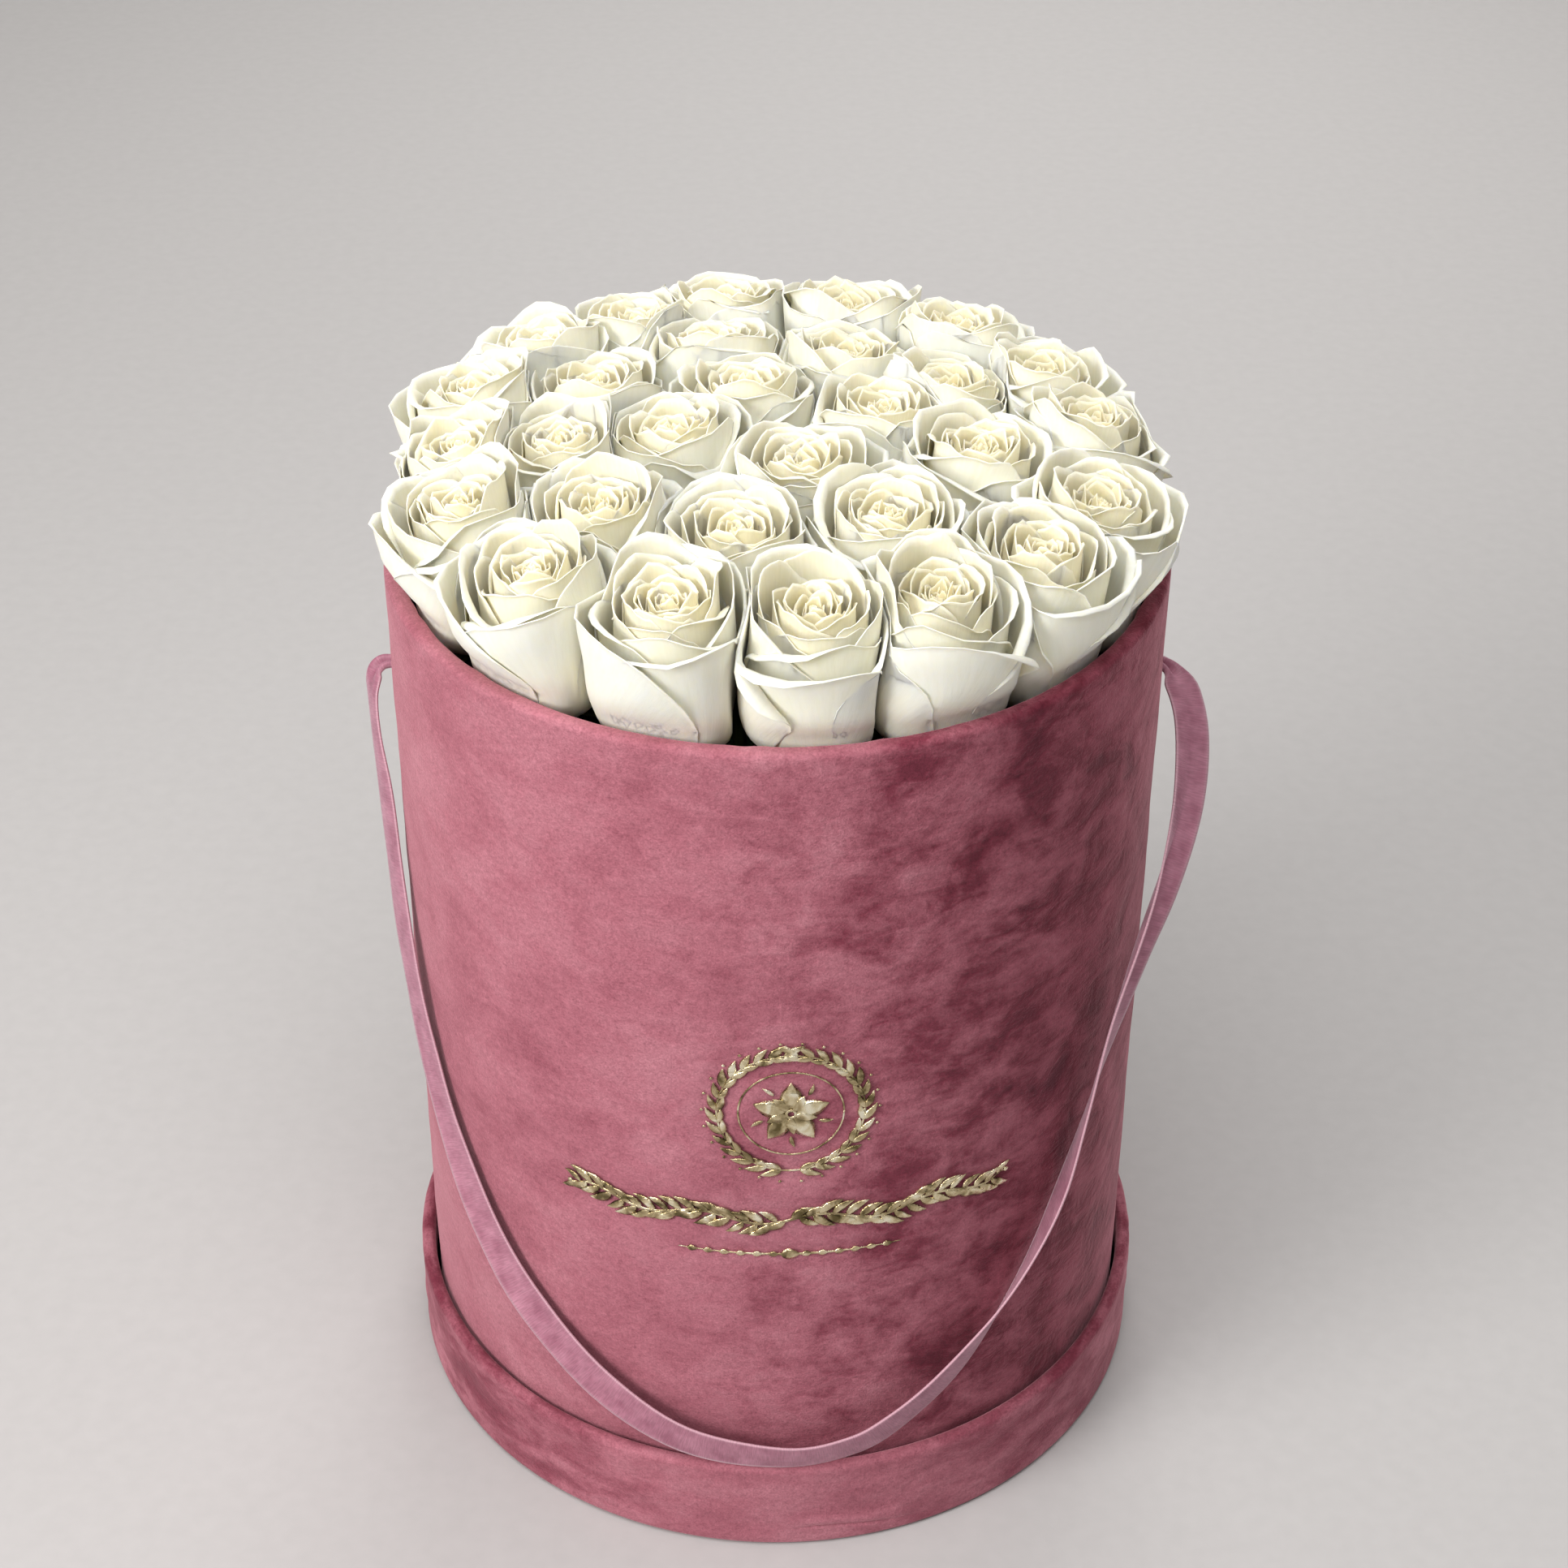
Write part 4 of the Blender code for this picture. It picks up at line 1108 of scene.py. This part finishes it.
ribbonRoute = (
    # (angle from the front, distance from the middle, height, how much the face looks up)
    (-90.0, 0.1110, 0.2430, 90), (-89.9, 0.1136, 0.2428, 82), (-89.5, 0.1158, 0.2405, 50),
    (-88.2, 0.1166, 0.2350, 15), (-85.5, 0.1157, 0.2240, 2), (-82.0, 0.1137, 0.2090, 0),
    (-77.4, 0.1124, 0.1870, 0), (-72.6, 0.1121, 0.1650, 4), (-66.0, 0.1124, 0.1400, 10),
    (-58.5, 0.1130, 0.1165, 14), (-49.5, 0.1137, 0.0935, 16), (-40.0, 0.1139, 0.0740, 14),
    (-27.0, 0.1146, 0.0550, 4), (-13.5, 0.1158, 0.0430, -8), (1.0, 0.1168, 0.0398, -18),
    (11.0, 0.1164, 0.0422, -20), (18.0, 0.1156, 0.0487, -18), (26.0, 0.1148, 0.0606, -14),
    (34.0, 0.1142, 0.0772, -12), (40.5, 0.1140, 0.0945, -10), (46.0, 0.1141, 0.1135, -8),
    (50.5, 0.1146, 0.1340, -4), (55.0, 0.1160, 0.1580, 2), (60.0, 0.1183, 0.1820, 8),
    (66.0, 0.1202, 0.2010, 20), (74.0, 0.1212, 0.2185, 37), (81.5, 0.1197, 0.2330, 54),
    (87.5, 0.1156, 0.2412, 72), (90.0, 0.1110, 0.2430, 90),
)

ribbon = {
    "width": 0.0125, "thickness": 0.00045,
    "neck": 0.0021,         # half width in the holes
    "gather": 0.011,        # length over which it widens from there
    "insideEnd": 0.1040, "insideStart": 0.1104,     # distances from the middle of the part in the wall
    "across": 15, "steps": 7,
    "pleat": 1.75 * mm, "cup": 0.55 * mm, "ripple": 0.10 * mm,
    "selvedge": 0.84,       # share of the half width where it starts
    # where along its length it is twisted, over what share of it, and how many degrees
    "twists": ((0.09, 0.09, -16.0), (0.70, 0.09, 41.0), (0.92, 0.04, -10.0)),
    "fold": (0.865, 0.055, 0.0034),     # a lengthwise fold: where along it, over what share, how deep
    # where it stands further off the box, over what share, and how far
    "standOff": ((0.14, 0.08, 0.0016), (0.70, 0.09, 0.0016)),
}


# A smooth curve through rows of numbers, each a blend of the four rows round it.
def smoothRows(rows, steps):
    rows = np.asarray(rows, float)
    rows = np.concatenate([rows[:1], rows, rows[-1:]])
    a, b, c, d = rows[:-3, None], rows[1:-2, None], rows[2:-1, None], rows[3:, None]
    t = (np.arange(steps) / steps)[None, :, None]
    out = 0.5 * (2 * b + (c - a) * t + (2 * a - 5 * b + 4 * c - d) * t ** 2
                 + (3 * b - a - 3 * c + d) * t ** 3)
    return np.concatenate([out.reshape(-1, rows.shape[1]), rows[-1:]])


# The ribbon: a flat section carried along its route. Near the holes it is gathered into pleats, so
# its width shrinks while the pleats deepen; further on it is cupped a little. The edges are a tight,
# slightly thicker selvedge.
def makeRibbon(look):
    spots = np.array(ribbonRoute)
    places = around(np.radians(spots[:, 0]), spots[:, 1], spots[:, 2])
    rows = smoothRows(np.column_stack([places, spots[:, 3]]), ribbon["steps"])
    inside = np.linspace(ribbon["insideEnd"], ribbon["insideStart"], 4)
    left = np.column_stack([-inside, 0 * inside, 0 * inside + wall["hole"], 0 * inside + 90])
    right = left[::-1] * np.array([-1, 1, 1, 1])
    rows = np.concatenate([left, rows, right])
    path, lean = rows[:, :3], np.radians(rows[:, 3])
    steps = np.linalg.norm(np.diff(path, axis=0), axis=1)
    lengths = np.concatenate([[0.0], np.cumsum(steps)])
    along = np.gradient(path, lengths, axis=0)
    along /= np.linalg.norm(along, axis=1)[:, None]
    outward = path * np.array([1, 1, 0])
    outward /= np.linalg.norm(outward, axis=1)[:, None]
    face = outward * np.cos(lean)[:, None] + np.array([0, 0, 1]) * np.sin(lean)[:, None]
    face -= along * np.sum(face * along, axis=1)[:, None]
    face /= np.linalg.norm(face, axis=1)[:, None]
    across = np.cross(along, face)
    way = lengths / lengths[-1]
    turn = sum(much * np.exp(-((way - place) / width) ** 2) for place, width, much in ribbon["twists"])
    turn = np.radians(turn)[:, None]
    off = sum(much * np.exp(-((way - place) / width) ** 2) for place, width, much in ribbon["standOff"])
    path = path + outward * off[:, None]
    face, across = face * np.cos(turn) + across * np.sin(turn), across * np.cos(turn) - face * np.sin(turn)
    fromHole = np.minimum(lengths, lengths[-1] - lengths) - (inside[-1] - inside[0])
    spread = smoothStep(fromHole / ribbon["gather"])
    half = (ribbon["neck"] + (ribbon["width"] / 2 - ribbon["neck"]) * spread)[:, None]
    w = np.linspace(-1.0, 1.0, ribbon["across"])
    pleat = ribbon["pleat"] * (1 - spread)[:, None] * np.sin(1.5 * math.pi * (w + 1))[None]
    cupped = (ribbon["cup"] * spread * np.sin(lengths * 21.0 + 0.7))[:, None] * (1 - w ** 2)[None]
    place, width, depth = ribbon["fold"]
    fold = (depth * spread * np.exp(-((way - place) / width) ** 2))[:, None] * (np.abs(w) - 0.5)[None]
    ripple = ribbon["ripple"] * np.sin(lengths * 160)[:, None] * (w ** 3)[None] * spread[:, None]
    lift = pleat + cupped + fold + ripple
    edge = smoothStep((np.abs(w) - ribbon["selvedge"]) / 0.08)
    thick = ribbon["thickness"] / 2 * (1 + 0.5 * edge)
    middle = path[:, None] + across[:, None] * (half * w)[..., None] + face[:, None] * lift[..., None]
    slope = np.gradient(lift, axis=1) / np.gradient(half * w, axis=1)
    sheetNormal = face[:, None] - across[:, None] * slope[..., None]
    sheetNormal /= np.linalg.norm(sheetNormal, axis=2)[..., None]
    upper = middle + sheetNormal * thick[None, :, None]
    lower = middle - sheetNormal * thick[None, :, None]
    loop = np.concatenate([upper, lower[:, ::-1]], axis=1)
    stations, sides = loop.shape[:2]
    quads = gridQuads(stations, sides, True)
    flatMap = gridMap(np.concatenate([(w + 1) / 2, (w[::-1] + 1) / 2, [0.0]]), lengths)
    ends = np.stack([np.arange(sides)[::-1], np.arange(sides) + (stations - 1) * sides])
    endMap = np.zeros((2 * sides, 2))
    numbers = {"edge": np.tile(np.concatenate([edge, edge[::-1]]), stations)}
    piece = makePiece("ribbonHandle", loop.reshape(-1, 3), [quads, ends], [look],
                      np.concatenate([flatMap.reshape(-1, 2), endMap]), numbers)
    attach(piece, "handle")
    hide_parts("ribbon_handle")
    say(f"ribbon is {lengths[-1]:.3f} m long")


knot = {
    "bead": 1.55 * mm,      # half the thickness of the pleated ribbon
    "sides": 12, "stations": 96,
    "span": (1.0, 2.75, 2.75),      # how far the curve below reaches along each axis
}


# The knots inside: an overhand knot, drawn as a three-lobed knotted curve round the hole's axis.
def makeKnot(name, node, look):
    low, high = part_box(node)
    middle = (np.array(low) + np.array(high)) / 2
    t = np.linspace(0, math.tau, knot["stations"] + 1)[:-1]
    size = np.array(high - low)
    bead = knot["bead"]
    curve = np.stack([np.sin(3 * t), np.sin(t) + 2 * np.sin(2 * t), np.cos(t) - 2 * np.cos(2 * t)], -1)
    curve = curve / np.array(knot["span"]) * (size / 2 - bead)
    along = np.roll(curve, -1, axis=0) - np.roll(curve, 1, axis=0)
    along /= np.linalg.norm(along, axis=1)[:, None]
    first = np.cross(along, curve)
    first /= np.linalg.norm(first, axis=1)[:, None]
    second = np.cross(along, first)
    sides = knot["sides"]
    turn = np.arange(sides) * math.tau / sides
    ring = first[:, None] * np.cos(turn)[None, :, None] + second[:, None] * np.sin(turn)[None, :, None]
    points = middle + curve[:, None] + ring * bead
    points = np.concatenate([points, points[:1]])
    count = len(t) * sides
    quads = gridQuads(len(points), sides, True) % count      # the last ring is the first again
    flatMap = gridMap(np.linspace(0, 1, sides + 1), np.linspace(0, 0.08, len(points)))
    piece = makePiece(name, points[:-1].reshape(-1, 3), quads, [look], flatMap,
                      {"edge": np.zeros(count)})
    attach(piece, frame["nodes"][node]["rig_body"])
    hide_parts(node)


weave = ribbonLook()
makeRibbon(weave)
makeKnot("ribbonKnotLeft", "ribbon_knot_left", weave)
makeKnot("ribbonKnotRight", "ribbon_knot_right", weave)
say("ribbon hangs over the front")

# finishes of the CAD pieces that stay
board, lining, film = boardLook(), liningLook(), filmLook()
wetFoam = foamLook("soakedFoam", (0.010, 0.040, 0.014), (0.040, 0.130, 0.050), 900.0)
whiteFoam = foamLook("whiteFoam", (0.62, 0.62, 0.61), (0.86, 0.86, 0.85), 260.0)
finishes = {
    "lid_face_board": board, "lid_side_board": board, "box_side_board": board, "box_bottom_board": board,
    "lid_lining_floor": lining, "lid_lining_wall": lining, "box_lining_wall": lining,
    "box_lining_floor": lining, "box_bottom_paper": lining,
    "riser_block": whiteFoam, "liner_cup": film, "floral_foam": wetFoam,
}
for node, finish in finishes.items():
    mesh = frame["nodes"][node].data
    mesh.materials.clear()
    mesh.materials.append(finish)
say("boards, linings and foam have their finish")
